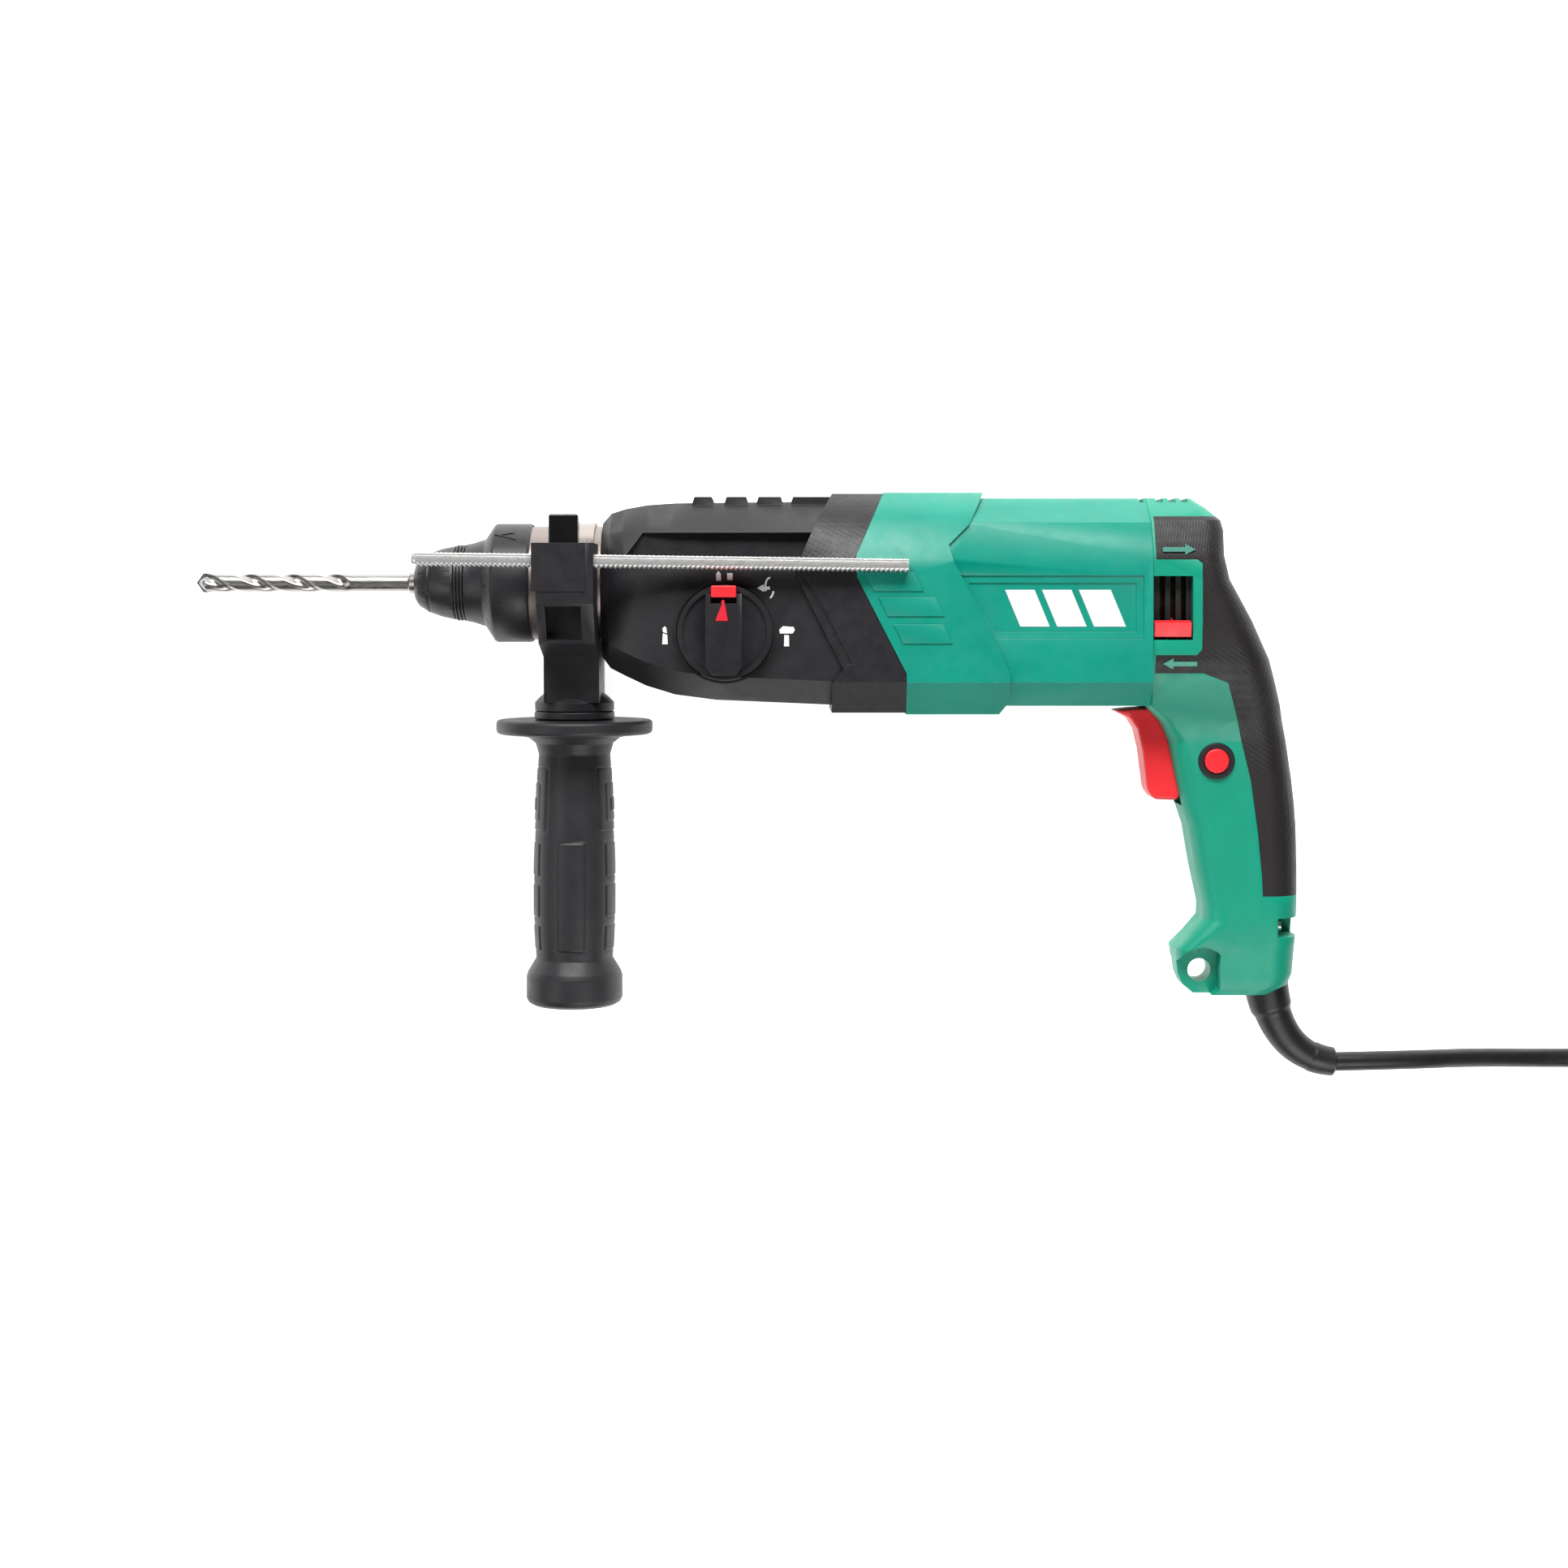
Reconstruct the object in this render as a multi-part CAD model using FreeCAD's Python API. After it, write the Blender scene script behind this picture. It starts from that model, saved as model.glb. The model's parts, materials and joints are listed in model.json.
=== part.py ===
import FreeCAD, Part
import math
import os
from FreeCAD import Vector

# Rotary hammer, SDS-plus class, lying on the right side of its housing.  Millimetres.
# Working frame: x runs back from the nose along the spindle axis, y points to the tool's top,
# z points to the tool's left side, and z = 0 is the mid-plane.  One shift at the end puts the
# origin at the centre of the bottom of the object's box.

# --- overall ---------------------------------------------------------------------------------
BIT_TIP_X = -92.4
FLOOR_Z = -38.0              # the flat right side that it lies on
HOUSING_TOP = 37.4
WALL = 3.0
GAP = 0.3

# --- spindle line ----------------------------------------------------------------------------
SHANK_R = 4.95
SOCKET_R = 5.0
SPINDLE_R = 9.9
CYLINDER_R = 15.0
CYLINDER_BORE = 12.5
CYLINDER_END = 150.0
COLLAR_R = 23.8
COLLAR_X = (43.5, 79.3)
SLEEVE_R = 24.9
SLEEVE_TRAVEL = 6.5

# --- gear train ------------------------------------------------------------------------------
MOTOR_Y = -7.25
LAY_Y = -26.25
MOTOR_MODULE = 0.95
MOTOR_TEETH = 8
LAY_TEETH = 32
SPINDLE_MODULE = 1.25
PINION_TEETH = 9
SPINDLE_TEETH = 33
PRESSURE = math.radians(25)
WOBBLE_X = 165.0
WOBBLE_BALL = 11.0

# --- motor -----------------------------------------------------------------------------------
CORE_X = (238.0, 282.0)
STATOR_R = 30.0
ROTOR_R = 19.4
MOTOR_END_X = 305.0          # seam between the motor housing and the handle
BRUSH_X = (309.0, 321.0)

# --- side handle and depth rod ---------------------------------------------------------------
GRIP_X = 66.7
GRIP_R = 17.0
FLANGE_R = 32.8
GRIP_END_Y = -177.8
BAND_R = (23.86, 25.4)
ROD_R = 2.9
ROD_Z = 42.2
ROD_X = (3.9, 205.7)
ROD_Y = (9.2, 6.5)
BLOCK_X = (53.3, 74.9)

# --- mode knob and handle controls -----------------------------------------------------------
KNOB_AT = (130.9, -20.4)
KNOB_R = 19.2
KNOB_FACE_Z = 35.3
LOCK_BUTTON_AT = (333.9, -73.9)
EYE_AT = (328.6, -162.0)
EYE_R = 4.8

# --- cord ------------------------------------------------------------------------------------
CORD_D = 8.0
CORD_EXIT = (386.6, -201.7, 0.0)
CORD_REST_Z = FLOOR_Z + CORD_D / 2 + 0.05
COIL_AT = (555.0, -157.0)
COIL_RADII = (41.0, 49.0)
COIL_LAYERS = 4

# Sections across the housing: (half width, height) from the top edge down the left side.
MOTOR_SECTION = [(13, 35.0), (21, 30.5), (29.5, 24.4), (36, 9.9), (36, -40.9), (26, -50.8)]
SHOULDER_SECTION = [(12.6, 37.4), (22, 32.2), (31.5, 23.6), (38, 9), (38, -40.9), (27, -54.3)]
BAND_SECTION = [(14, 36.9), (22, 31.7), (31, 22.9), (37.4, 9), (37.4, -40.9), (27, -53.6)]
CAVITY_SECTION = [(10, 31.5), (18, 27.4), (26, 21.5), (32.6, 9), (32.6, -38.5), (23, -47.4)]

# Seams in side view, top to bottom.
BAND_FRONT = [(175, 45), (174.8, 36.9), (167.1, 22.7), (161.2, 8.9), (159.8, 2.3),
              (179, -35.6), (174.4, -41.2), (174.4, -60)]
GREEN_SEAM = [(197, 45), (196, 36.9), (184.2, 10.8), (184.5, 1.9), (204.6, -37.2), (205, -60)]
SHOULDER_BACK = [(237.5, 45), (237.5, 37), (230.6, 23.6), (222, 15.1), (224, 7.9),
                 (240.8, -23.4), (246.7, -37.2), (246.4, -49.7), (243, -54.4), (243, -60)]
COVER_SEAM = [(332, 45), (328, 36), (327, 9), (327, -30), (336.4, -41.2), (340.5, -56.6),
              (332.1, -62), (331.7, -66), (333.9, -73.9), (335.1, -80.8), (337.1, -84.9),
              (347.2, -86.9), (349.6, -108.4), (351.9, -128.6), (353.2, -180)]
RUBBER_EDGE = [(306.2, 27), (306.2, 9.1), (323, 9.1), (325, 7.5), (325, -27.5), (323, -29.8),
               (306.2, -29.8), (306.2, -37.3), (326, -37.3), (336.4, -41.2), (341.8, -56.6),
               (348.2, -82.2), (351.2, -104), (352.9, -122.2), (353.2, -130.2)]

# Handle stations going down: height, front x, rear x, half width, front and rear corner radius.
HANDLE_STATIONS = [
    (35.0, 305, 324.0, 14.0, 0.6, 3), (31.0, 305, 329.0, 21.0, 0.6, 4),
    (25.5, 305, 334.8, 29.0, 0.6, 8), (21.2, 305, 335.8, 31.0, 0.6, 9),
    (11.0, 305, 335.5, 35.5, 0.6, 10), (1.0, 305, 337.9, 36.0, 0.6, 11),
    (-7.5, 305, 342.7, 36.0, 0.6, 12), (-16.0, 305, 347.4, 36.0, 0.6, 13),
    (-32.0, 305, 355.0, 34.0, 0.6, 14), (-42.0, 305, 358.3, 30.0, 0.8, 14),
    (-51.2, 305, 361.3, 25.0, 2.0, 14), (-58.0, 311.5, 363.0, 21.0, 5.0, 14),
    (-66.0, 315, 364.8, 18.5, 8.0, 13), (-81.4, 318, 367.3, 17.3, 9.0, 13),
    (-92.3, 320.5, 368.6, 17.0, 9.0, 13), (-102.0, 323.6, 369.3, 17.0, 10.0, 13),
    (-118.0, 326.3, 369.7, 17.0, 10.0, 13), (-134.7, 329.9, 369.7, 17.0, 10.0, 13),
    (-140.2, 329.7, 369.4, 17.0, 10.0, 13), (-147.0, 324.2, 369.0, 16.8, 8.0, 12),
    (-152.8, 318.4, 368.6, 16.0, 7.0, 12), (-163.4, 319.7, 367.6, 15.2, 7.0, 11),
    (-168.0, 321.6, 365.6, 14.6, 7.0, 10), (-171.6, 326.0, 358.0, 13.4, 6.0, 8)]


# ============================== small building blocks =======================================
def box(x0, x1, y0, y1, z0, z1):
    return Part.makeBox(x1 - x0, y1 - y0, z1 - z0, Vector(x0, y0, z0))


def rod_x(x0, x1, radius, y=0.0, z=0.0):
    return Part.makeCylinder(radius, x1 - x0, Vector(x0, y, z), Vector(1, 0, 0))


def tube_x(x0, x1, outer, inner, y=0.0, z=0.0):
    return rod_x(x0, x1, outer, y, z).cut(rod_x(x0 - 1, x1 + 1, inner, y, z))


def rod_y(y0, y1, radius, x=GRIP_X, z=0.0):
    return Part.makeCylinder(radius, y1 - y0, Vector(x, y0, z), Vector(0, 1, 0))


def rod_z(z0, z1, radius, x, y):
    return Part.makeCylinder(radius, z1 - z0, Vector(x, y, z0), Vector(0, 0, 1))


def turned_x(profile, y=0.0):
    """Revolve (x, radius) points about an axis along x."""
    points = [Vector(x, y + r, 0) for x, r in profile]
    face = Part.Face(Part.makePolygon(points + points[:1]))
    return face.revolve(Vector(0, y, 0), Vector(1, 0, 0), 360)


def turned_y(profile, x=GRIP_X):
    """Revolve (y, radius) points about an axis along y."""
    points = [Vector(x + r, y, 0) for y, r in profile]
    face = Part.Face(Part.makePolygon(points + points[:1]))
    return face.revolve(Vector(x, 0, 0), Vector(0, 1, 0), 360)


def plate_xy(points, z0, z1):
    """Extrude an outline drawn in side view."""
    corners = [Vector(x, y, z0) for x, y in points]
    return Part.Face(Part.makePolygon(corners + corners[:1])).extrude(Vector(0, 0, z1 - z0))


def plate_yz(points, x0, x1):
    """Extrude an outline drawn as (z, y) in end view."""
    corners = [Vector(x0, y, z) for z, y in points]
    return Part.Face(Part.makePolygon(corners + corners[:1])).extrude(Vector(x1 - x0, 0, 0))


def round_profile(centre_x, radius, half_width, steps=10):
    """(x, radius) points along a circle about the axis, for ball-shaped faces."""
    xs = [-half_width + 2 * half_width * n / steps for n in range(steps + 1)]
    return [(centre_x + x, math.sqrt(radius ** 2 - x ** 2)) for x in xs]


def mirrored(half):
    """Close a half section, given from the top down, into a whole outline."""
    return half + [(-z, y) for z, y in reversed(half)]


def section_prism(half, x0, x1):
    return plate_yz(mirrored(half), x0, x1)


def fused(shapes):
    body = shapes[0]
    for shape in shapes[1:]:
        body = body.fuse(shape)
    return body.removeSplitter()


def region(front, back, depth=60.0):
    """Everything between two seams of the side view."""
    return plate_xy(front + list(reversed(back)), -depth, depth)


def spring_x(x0, x1, radius, wire, turns, y=0.0, z=0.0):
    """Coil spring along x: a wire circle swept over a helix of short straight steps."""
    steps = int(turns * 20)
    points = [Vector(x0 + (x1 - x0) * n / steps, y + radius * math.cos(math.tau * n / 20),
                     z + radius * math.sin(math.tau * n / 20)) for n in range(steps + 1)]
    start = Part.Wire(Part.makeCircle(wire, points[0], points[1] - points[0]))
    return Part.makePolygon(points).makePipeShell([start], True, False, 1)


def gear(teeth, module, x0, x1, y, first_tooth):
    """Spur gear with stub involute teeth; first_tooth is the angle of one tooth from +y to +z."""
    pitch_r = module * teeth / 2
    base_r = pitch_r * math.cos(PRESSURE)
    root_r = pitch_r - module
    tip_r = pitch_r + 0.7 * module
    half_pitch = math.pi / (2 * teeth) - 0.05 / pitch_r
    involute = math.tan(PRESSURE) - PRESSURE

    def half_angle(radius):
        steep = math.acos(min(1.0, base_r / radius))
        return half_pitch + involute - (math.tan(steep) - steep)

    radii = [root_r, max(base_r, root_r) * 1.001, pitch_r, (pitch_r + tip_r) / 2, tip_r]
    points = []
    for tooth in range(teeth):
        middle = math.radians(first_tooth) + tooth * 2 * math.pi / teeth
        for side, steps in ((-1, radii), (1, reversed(radii))):
            for radius in steps:
                angle = middle + side * half_angle(max(radius, base_r))
                points.append((radius * math.sin(angle), y + radius * math.cos(angle)))
    return plate_yz(points, x0, x1)


def ball_bearing(x0, x1, inner, outer, y=0.0, balls=8):
    """Inner ring, outer ring and balls, all loose solids of one bearing."""
    wall = (outer - inner) * 0.27
    rings = [tube_x(x0, x1, inner + wall, inner, y), tube_x(x0, x1, outer, outer - wall, y)]
    ball_r = (outer - inner) / 2 - wall - 0.1
    pitch_r = (outer + inner) / 2
    for step in range(balls):
        angle = 2 * math.pi * step / balls
        centre = Vector((x0 + x1) / 2, y + pitch_r * math.cos(angle), pitch_r * math.sin(angle))
        rings.append(Part.makeSphere(ball_r, centre))
    return Part.makeCompound(rings)


def rounded_section(y, x0, x1, half_z, front_r, rear_r, inset=0.0):
    """Horizontal section of the handle: a rectangle with rounded front and rear corners."""
    x0 += inset
    x1 -= inset
    half_z -= inset
    fr = max(front_r - inset, 0.4)
    rr = max(rear_r - inset, 0.4)
    corners = [(x0 + fr, half_z - fr, fr, 90), (x1 - rr, half_z - rr, rr, 0),
               (x1 - rr, -half_z + rr, rr, 270), (x0 + fr, -half_z + fr, fr, 180)]
    edges = []
    ends = []
    for cx, cz, r, start in corners:
        arc = [Vector(cx + r * math.cos(math.radians(a)), y, cz + r * math.sin(math.radians(a)))
               for a in (start + 90, start + 45, start)]
        ends.append((arc[0], arc[2]))
        edges.append(Part.Arc(*arc).toShape())
    for index in range(4):
        edges.append(Part.LineSegment(ends[index][1], ends[(index + 1) % 4][0]).toShape())
    return Part.Wire(Part.__sortEdges__(edges))


def handle_solid(inset=0.0, top=40.0, bottom=-180.0):
    wires = []
    for y, x0, x1, half_z, front_r, rear_r in HANDLE_STATIONS:
        if bottom <= y <= top:
            wires.append(rounded_section(y, x0, x1, half_z, front_r, rear_r, inset))
    return Part.makeLoft(wires, True, True)


# ============================== bit and tool holder ==========================================
def drill_bit():
    body = turned_x([(-86, 0), (-86, 3.7), (-28.4, 3.7), (-26, 3.6), (-3, 3.6), (-2.4, 4.4),
                     (0, SHANK_R), (50, SHANK_R), (52, 3.8), (52, 0)])
    for side in (-1, 1):
        groove = rod_x(16, 28, 3.3, 0, side * 7.5)
        groove = groove.fuse(Part.makeSphere(3.3, Vector(16, 0, side * 7.5)))
        body = body.cut(groove.fuse(Part.makeSphere(3.3, Vector(28, 0, side * 7.5))))
    return body.fuse(carbide_tip())


def carbide_tip():
    outline = [(BIT_TIP_X, 0), (-90.2, 3.9), (-86.5, 4.0), (-84, 3.5), (-84, -3.5), (-86.5, -4.0),
               (-90.2, -3.9)]
    return plate_xy(outline, -0.8, 0.8)


def dust_cap():
    profile = [(0, 5.3), (0, 7.4), (1.6, 9.9), (6.1, 12.7), (6.5, 12.4), (6.9, 12.9), (11.3, 14.4)]
    profile += [(17.1, 15.6), (17.1, 14.6)]
    for x in (17.6, 19.0, 20.4):
        profile += [(x, 14.6), (x, 16.0), (x + 0.8, 16.0), (x + 0.8, 14.6)]
    return turned_x(profile + [(21.2, 11.0), (20.0, 11.0), (19.0, SPINDLE_R), (8, SPINDLE_R), (8, 5.3)])


def locking_sleeve():
    return turned_x([(21.6, 16.2), (24, 16.6), (29.7, 18.4), (33.6, 24.3), (34.6, SLEEVE_R), (48.6, SLEEVE_R),
                     (49.6, 24.4), (49.6, COLLAR_R + 0.2), (36.2, COLLAR_R + 0.2), (34.4, 17.4),
                     (26, 12.2), (21.6, 12.2)])


def locking_balls():
    return Part.makeCompound([Part.makeSphere(3.0, Vector(22, 0, side * 7.5)) for side in (-1, 1)])


def spindle():
    body = turned_x([(8, SOCKET_R), (8, SPINDLE_R), (68, SPINDLE_R), (74, CYLINDER_R),
                     (CYLINDER_END, CYLINDER_R), (CYLINDER_END, CYLINDER_BORE), (84.6, CYLINDER_BORE),
                     (84.6, 7.0), (62, 7.0), (62, SOCKET_R)])
    for side in (-1, 1):
        body = body.cut(rod_z(0, side * 12, 3.05, 22, 0) if side > 0 else rod_z(-12, 0, 3.05, 22, 0))
    return body


def spindle_gear():
    pitch = 360.0 / SPINDLE_TEETH
    teeth = gear(SPINDLE_TEETH, SPINDLE_MODULE, 117, 127, 0, 180 + pitch / 2)
    return teeth.cut(rod_x(116, 128, CYLINDER_R))


def impact_bolt():
    return turned_x([(54, 0), (54, 4.4), (55, 4.9), (66, 4.9), (67, 6.95), (84, 6.95), (84, 0)])


def striker():
    return turned_x([(90, 0), (90, 6), (94, 6), (95, 12.44), (112, 12.44), (112, 0)])


def piston():
    cup = turned_x([(124, 0), (124, 12.44), (149, 12.44), (151, 11.5), (152, 11.5), (152, 0)])
    cup = cup.cut(rod_x(120, 128, 9.5))
    lugs = [box(151, 171.5, -5.5, 5.5, side * 8.5 - 2, side * 8.5 + 2) for side in (-1, 1)]
    return fused([cup] + lugs).cut(rod_z(-12, 12, 3.05, WOBBLE_X, 0))


def swivel_pin():
    body = rod_z(-6.2, 6.2, 4.6, WOBBLE_X, 0)
    body = body.fuse(rod_z(-10.3, 10.3, 3.0, WOBBLE_X, 0))
    return body.cut(rod_y(-8, 8, 2.1, WOBBLE_X))


def lay_shaft():
    shaft = rod_x(106, 200, 4.0, LAY_Y)
    ends = [(WOBBLE_X + 7, 3.5), (WOBBLE_X - 7, 3.5)]
    ball = turned_x(round_profile(WOBBLE_X, WOBBLE_BALL, 7) + ends, LAY_Y)
    pinion = gear(PINION_TEETH, SPINDLE_MODULE, 115, 129, LAY_Y, 0)
    return fused([shaft, ball, pinion])


def lay_gear():
    pitch = 360.0 / LAY_TEETH
    teeth = gear(LAY_TEETH, MOTOR_MODULE, 180, 190, LAY_Y, pitch / 2)
    return teeth.cut(rod_x(179, 191, 4.0, LAY_Y))


def wobble_plate():
    ends = [(WOBBLE_X + 3.5, 15), (WOBBLE_X - 3.5, 15)]
    ring = turned_x(round_profile(WOBBLE_X, WOBBLE_BALL + GAP, 3.5, 6) + ends, LAY_Y)
    finger = rod_y(LAY_Y + 13, 6.5, 1.75, WOBBLE_X)
    trunnions = [rod_z(14, 16.5, 2.5, WOBBLE_X, LAY_Y), rod_z(-16.5, -14, 2.5, WOBBLE_X, LAY_Y)]
    return fused([ring, finger] + trunnions)


def clutch_sleeve():
    return tube_x(134, 148, 7.4, 4.05, LAY_Y).cut(tube_x(139, 143, 8, 6, LAY_Y))


# ============================== housings =====================================================
def barrel_collar():
    body = turned_x([(COLLAR_X[0], 18), (COLLAR_X[0], COLLAR_R), (COLLAR_X[1], COLLAR_R),
                     (COLLAR_X[1], 18)])
    return body


def gear_housing_outer():
    stations = [(79.3, 24.5, 10, 17, 21.5, -31, 12), (83, 28.7, 11, 21, 26, -35.6, 15),
                (89, 30.6, 11, 24, 29.5, -38.5, 18), (98, 32.2, 12, 27, 32.5, -42.6, 21),
                (110, 33.0, 12, 28.5, 34.3, -46.2, 23), (127, 33.2, 12, 29, 35.2, -48.4, 24),
                (180, 33.8, 12, 29.5, 35.6, -50.6, 25)]
    wires = []
    for x, top, top_z, crease_z, side_z, bottom, bottom_z in stations:
        crease_y = min(20.5, top - 8)
        half = [(top_z, top), (crease_z, crease_y), (side_z, 9), (side_z, bottom + 10), (bottom_z, bottom)]
        corners = [Vector(x, y, z) for z, y in mirrored(half)]
        wires.append(Part.makePolygon(corners + corners[:1]))
    return Part.makeLoft(wires, True, True)


def gear_housing():
    body = gear_housing_outer()
    channel = [(97, 20.2), (172, 20.2), (172, 10.4), (90, 10.4)]
    for side in (-1, 1):
        depth = (25.5, 45) if side > 0 else (-45, -25.5)
        body = body.cut(plate_xy(channel, *depth))
    ribs = [(117.6, 124.8), (131.0, 139.2), (144.3, 153.6), (158.6, 176)]
    for x0, x1 in ribs:
        outline = [(x0 - 1.4, 31), (x0, 35.6), (x1, 35.6), (x1 + 1.4, 31)]
        body = body.fuse(plate_xy(outline, -13.5, 13.5))
    cavity = [(8, 29), (21.5, 19), (22.5, 9), (31, 6), (31, -37), (21, -45.5)]
    body = body.cut(section_prism(cavity, 117, 200)).cut(rod_x(101, 118, 22))
    body = body.cut(rod_x(105.5, 118, 8.1, LAY_Y))
    body = body.cut(rod_x(70, 102, 18.2)).cut(region(BAND_FRONT, [(260, 45), (260, -60)]))
    knob_hole = rod_z(20, 50, 6.1, *KNOB_AT)
    return body.cut(knob_hole)


def gear_housing_rear():
    body = section_prism(BAND_SECTION, 150, 210).common(region(BAND_FRONT, GREEN_SEAM))
    body = body.cut(section_prism(CAVITY_SECTION, 140, 230))
    slant = [(162.4, 2.2), (164.2, 2.2), (182.6, -33.4), (180.8, -33.4)]
    return body.cut(plate_xy(slant, 36.6, 40))


def trapezoid(inset):
    return [(227 + inset, 2.6 - inset), (301.2 - inset, 2.6 - inset), (301.2 - inset, -23.4 + inset),
            (239.2 + inset * 0.6, -23.4 + inset)]


def motor_housing():
    body = section_prism(MOTOR_SECTION, 190, MOTOR_END_X)
    shoulder = section_prism(SHOULDER_SECTION, 170, 260).common(region(GREEN_SEAM, SHOULDER_BACK))
    body = body.common(region(GREEN_SEAM, [(330, 45), (330, -60)])).fuse(shoulder)
    body = body.cut(section_prism(CAVITY_SECTION, 170, 320))
    body = body.cut(plate_xy(trapezoid(0), 35.3, 40).cut(plate_xy(SHOULDER_BACK + [(200, -60), (200, 45)], 30, 41)))
    body = body.cut(plate_xy(trapezoid(3), 34.7, 36).cut(plate_xy(SHOULDER_BACK + [(200, -60), (200, 45)], 30, 41)))
    for x, y, length in ((187.6, 3.9, 20), (193.2, -6.3, 23), (199.4, -17.4, 20)):
        panel = [(x, y), (x + length, y), (x + length + 3.8, y - 7.6), (x + 3.8, y - 7.6)]
        body = body.fuse(plate_xy(panel, 37, 38.6))
    slots = [box(302.2, 304, 28, 40, -16, 16)]
    slots += [box(258 + 6 * n, 261 + 6 * n, -60, -44, -14, 14) for n in range(6)]
    for slot in slots:
        body = body.cut(slot)
    return body


def inset_section(section, by):
    return [(z - by, y - by if y > 0 else y + by) for z, y in section]


def handle_core():
    shell = handle_solid().cut(handle_solid(4.2, 32.0, -148.0))
    return shell.cut(section_prism(inset_section(CAVITY_SECTION, 1.7), 300, 311))


def rubber_layer():
    back = [(380, -130.2), (380, 27)]
    layer = handle_solid().cut(handle_solid(1.5))
    return layer.common(plate_xy(RUBBER_EDGE + back, -60, 60))


def cover_region():
    return plate_xy(COVER_SEAM + [(380, -180), (380, 45)], -60, 60)


def control_cuts(body):
    """Openings for the trigger, the lock-on button and the reversing lever."""
    body = body.cut(box(300, 331, -93, -51.2, -9.6, 9.6))
    body = body.cut(rod_z(5, 30, 7.6, *LOCK_BUTTON_AT)).cut(cord_clamp())
    for z0, z1 in ((24, 40), (-40, -24)):
        body = body.cut(box(300, 321.2, -23.6, 2.4, z0, z1))
    body = body.cut(rod_z(-30, 30, EYE_R, *EYE_AT))
    return body.cut(box(309, 323, -190, -176, -1, 1))


def handle_front():
    body = handle_core().cut(rubber_layer()).cut(cover_region()).cut(relief_solid(0.0, 14))
    for x in (309, 314.2, 319.2):
        body = body.cut(box(x, x + 3, 29.6, 40, -17, 17))
    body = control_cuts(body)
    for side in (-1, 1):
        lug_cut = box(312, 336, -180, -150, side * 11.5 - 5, side * 11.5 + 5)
        body = body.cut(lug_cut.common(rod_z(-30, 30, 10.5, *EYE_AT)))
    return max(body.Solids, key=lambda solid: solid.Volume)


def rear_cover():
    body = handle_core().cut(rubber_layer()).common(cover_region())
    body = control_cuts(body)
    body = body.cut(box(359.6, 380, -147.4, -139.5, -40, 40).common(box(340, 380, -150, -139, -4, 30)))
    body = body.cut(relief_solid(0.0, 14))
    return max(body.Solids, key=lambda solid: solid.Volume)


def vent_grilles():
    """Slatted plates behind the two windows of the handle."""
    plates = []
    for z0, z1 in ((28.9, 30.1), (-30.1, -28.9)):
        plate = box(305.6, 322.6, -25.5, 4.2, z0, z1)
        for x in (308.6, 312.9, 317.2):
            plate = plate.cut(box(x, x + 2.0, -24, 2.6, z0 - 1, z1 + 1))
        plates.append(plate)
    return Part.makeCompound(plates)


# ============================== motor ========================================================
def armature_shaft():
    shaft = rod_x(192, 333, 4.0, MOTOR_Y)
    pinion = gear(MOTOR_TEETH, MOTOR_MODULE, 178.5, 193, MOTOR_Y, 180)
    return fused([shaft, pinion])


def armature_core():
    body = tube_x(CORE_X[0], CORE_X[1], ROTOR_R, 4.0, MOTOR_Y)
    slot = box(CORE_X[0] - 1, CORE_X[1] + 1, MOTOR_Y + ROTOR_R - 3, MOTOR_Y + ROTOR_R + 1, -0.8, 0.8)
    for step in range(12):
        turned = slot.copy()
        turned.rotate(Vector(0, MOTOR_Y, 0), Vector(1, 0, 0), 30 * step)
        body = body.cut(turned)
    return body


def armature_windings():
    front = turned_x([(229, 4.0), (229, 12), (232, 16.5), (238, 17), (238, 4.0)], MOTOR_Y)
    rear = turned_x([(282, 4.0), (282, 17), (290, 15.5), (296, 11), (296, 4.0)], MOTOR_Y)
    return Part.makeCompound([front, rear])


def commutator():
    return tube_x(306, 323, 12, 4.0, MOTOR_Y)


def fan():
    hub = tube_x(208, 224, 8, 4.0, MOTOR_Y)
    disc = tube_x(208, 210, 27.5, 7, MOTOR_Y)
    body = hub.fuse(disc)
    blade = box(209, 222, MOTOR_Y + 11, MOTOR_Y + 27.5, -0.7, 0.7)
    for step in range(11):
        turned = blade.copy()
        turned.rotate(Vector(0, MOTOR_Y, 0), Vector(1, 0, 0), 360.0 / 11 * step)
        body = body.fuse(turned)
    return body


def stator_core():
    body = tube_x(CORE_X[0], CORE_X[1], STATOR_R, 26, MOTOR_Y)
    poles = tube_x(CORE_X[0], CORE_X[1], 27, ROTOR_R + 0.5, MOTOR_Y)
    poles = poles.common(box(CORE_X[0], CORE_X[1], MOTOR_Y - 13, MOTOR_Y + 13, -40, 40))
    return body.fuse(poles)


def field_coils():
    coils = []
    for x0, x1 in ((CORE_X[0] - 8, CORE_X[0] - 0.2), (CORE_X[1] + 0.2, CORE_X[1] + 9)):
        ring = tube_x(x0, x1, 28, 20.6, MOTOR_Y)
        for side in (-1, 1):
            zs = (3, 40) if side > 0 else (-40, -3)
            coils.append(ring.common(box(x0, x1, MOTOR_Y - 40, MOTOR_Y + 40, *zs)))
    return Part.makeCompound(coils)


def brush_ring():
    ring = tube_x(BRUSH_X[0], BRUSH_X[1], 26, 23.2, MOTOR_Y)
    return ring


def brush_holders():
    """Two brass guides that point at the commutator, one each side."""
    guides = []
    for side in (-1, 1):
        z0, z1 = sorted((side * 14.2, side * 25.5))
        guide = box(311.5, 318.5, MOTOR_Y - 4.6, MOTOR_Y + 4.6, z0, z1)
        guide = guide.cut(box(312.3, 317.7, MOTOR_Y - 3.6, MOTOR_Y + 3.6, z0 - 1, z1 + 1))
        guides.append(guide.cut(tube_x(300, 330, 40, 23.2, MOTOR_Y)))
    return Part.makeCompound(guides)


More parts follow.
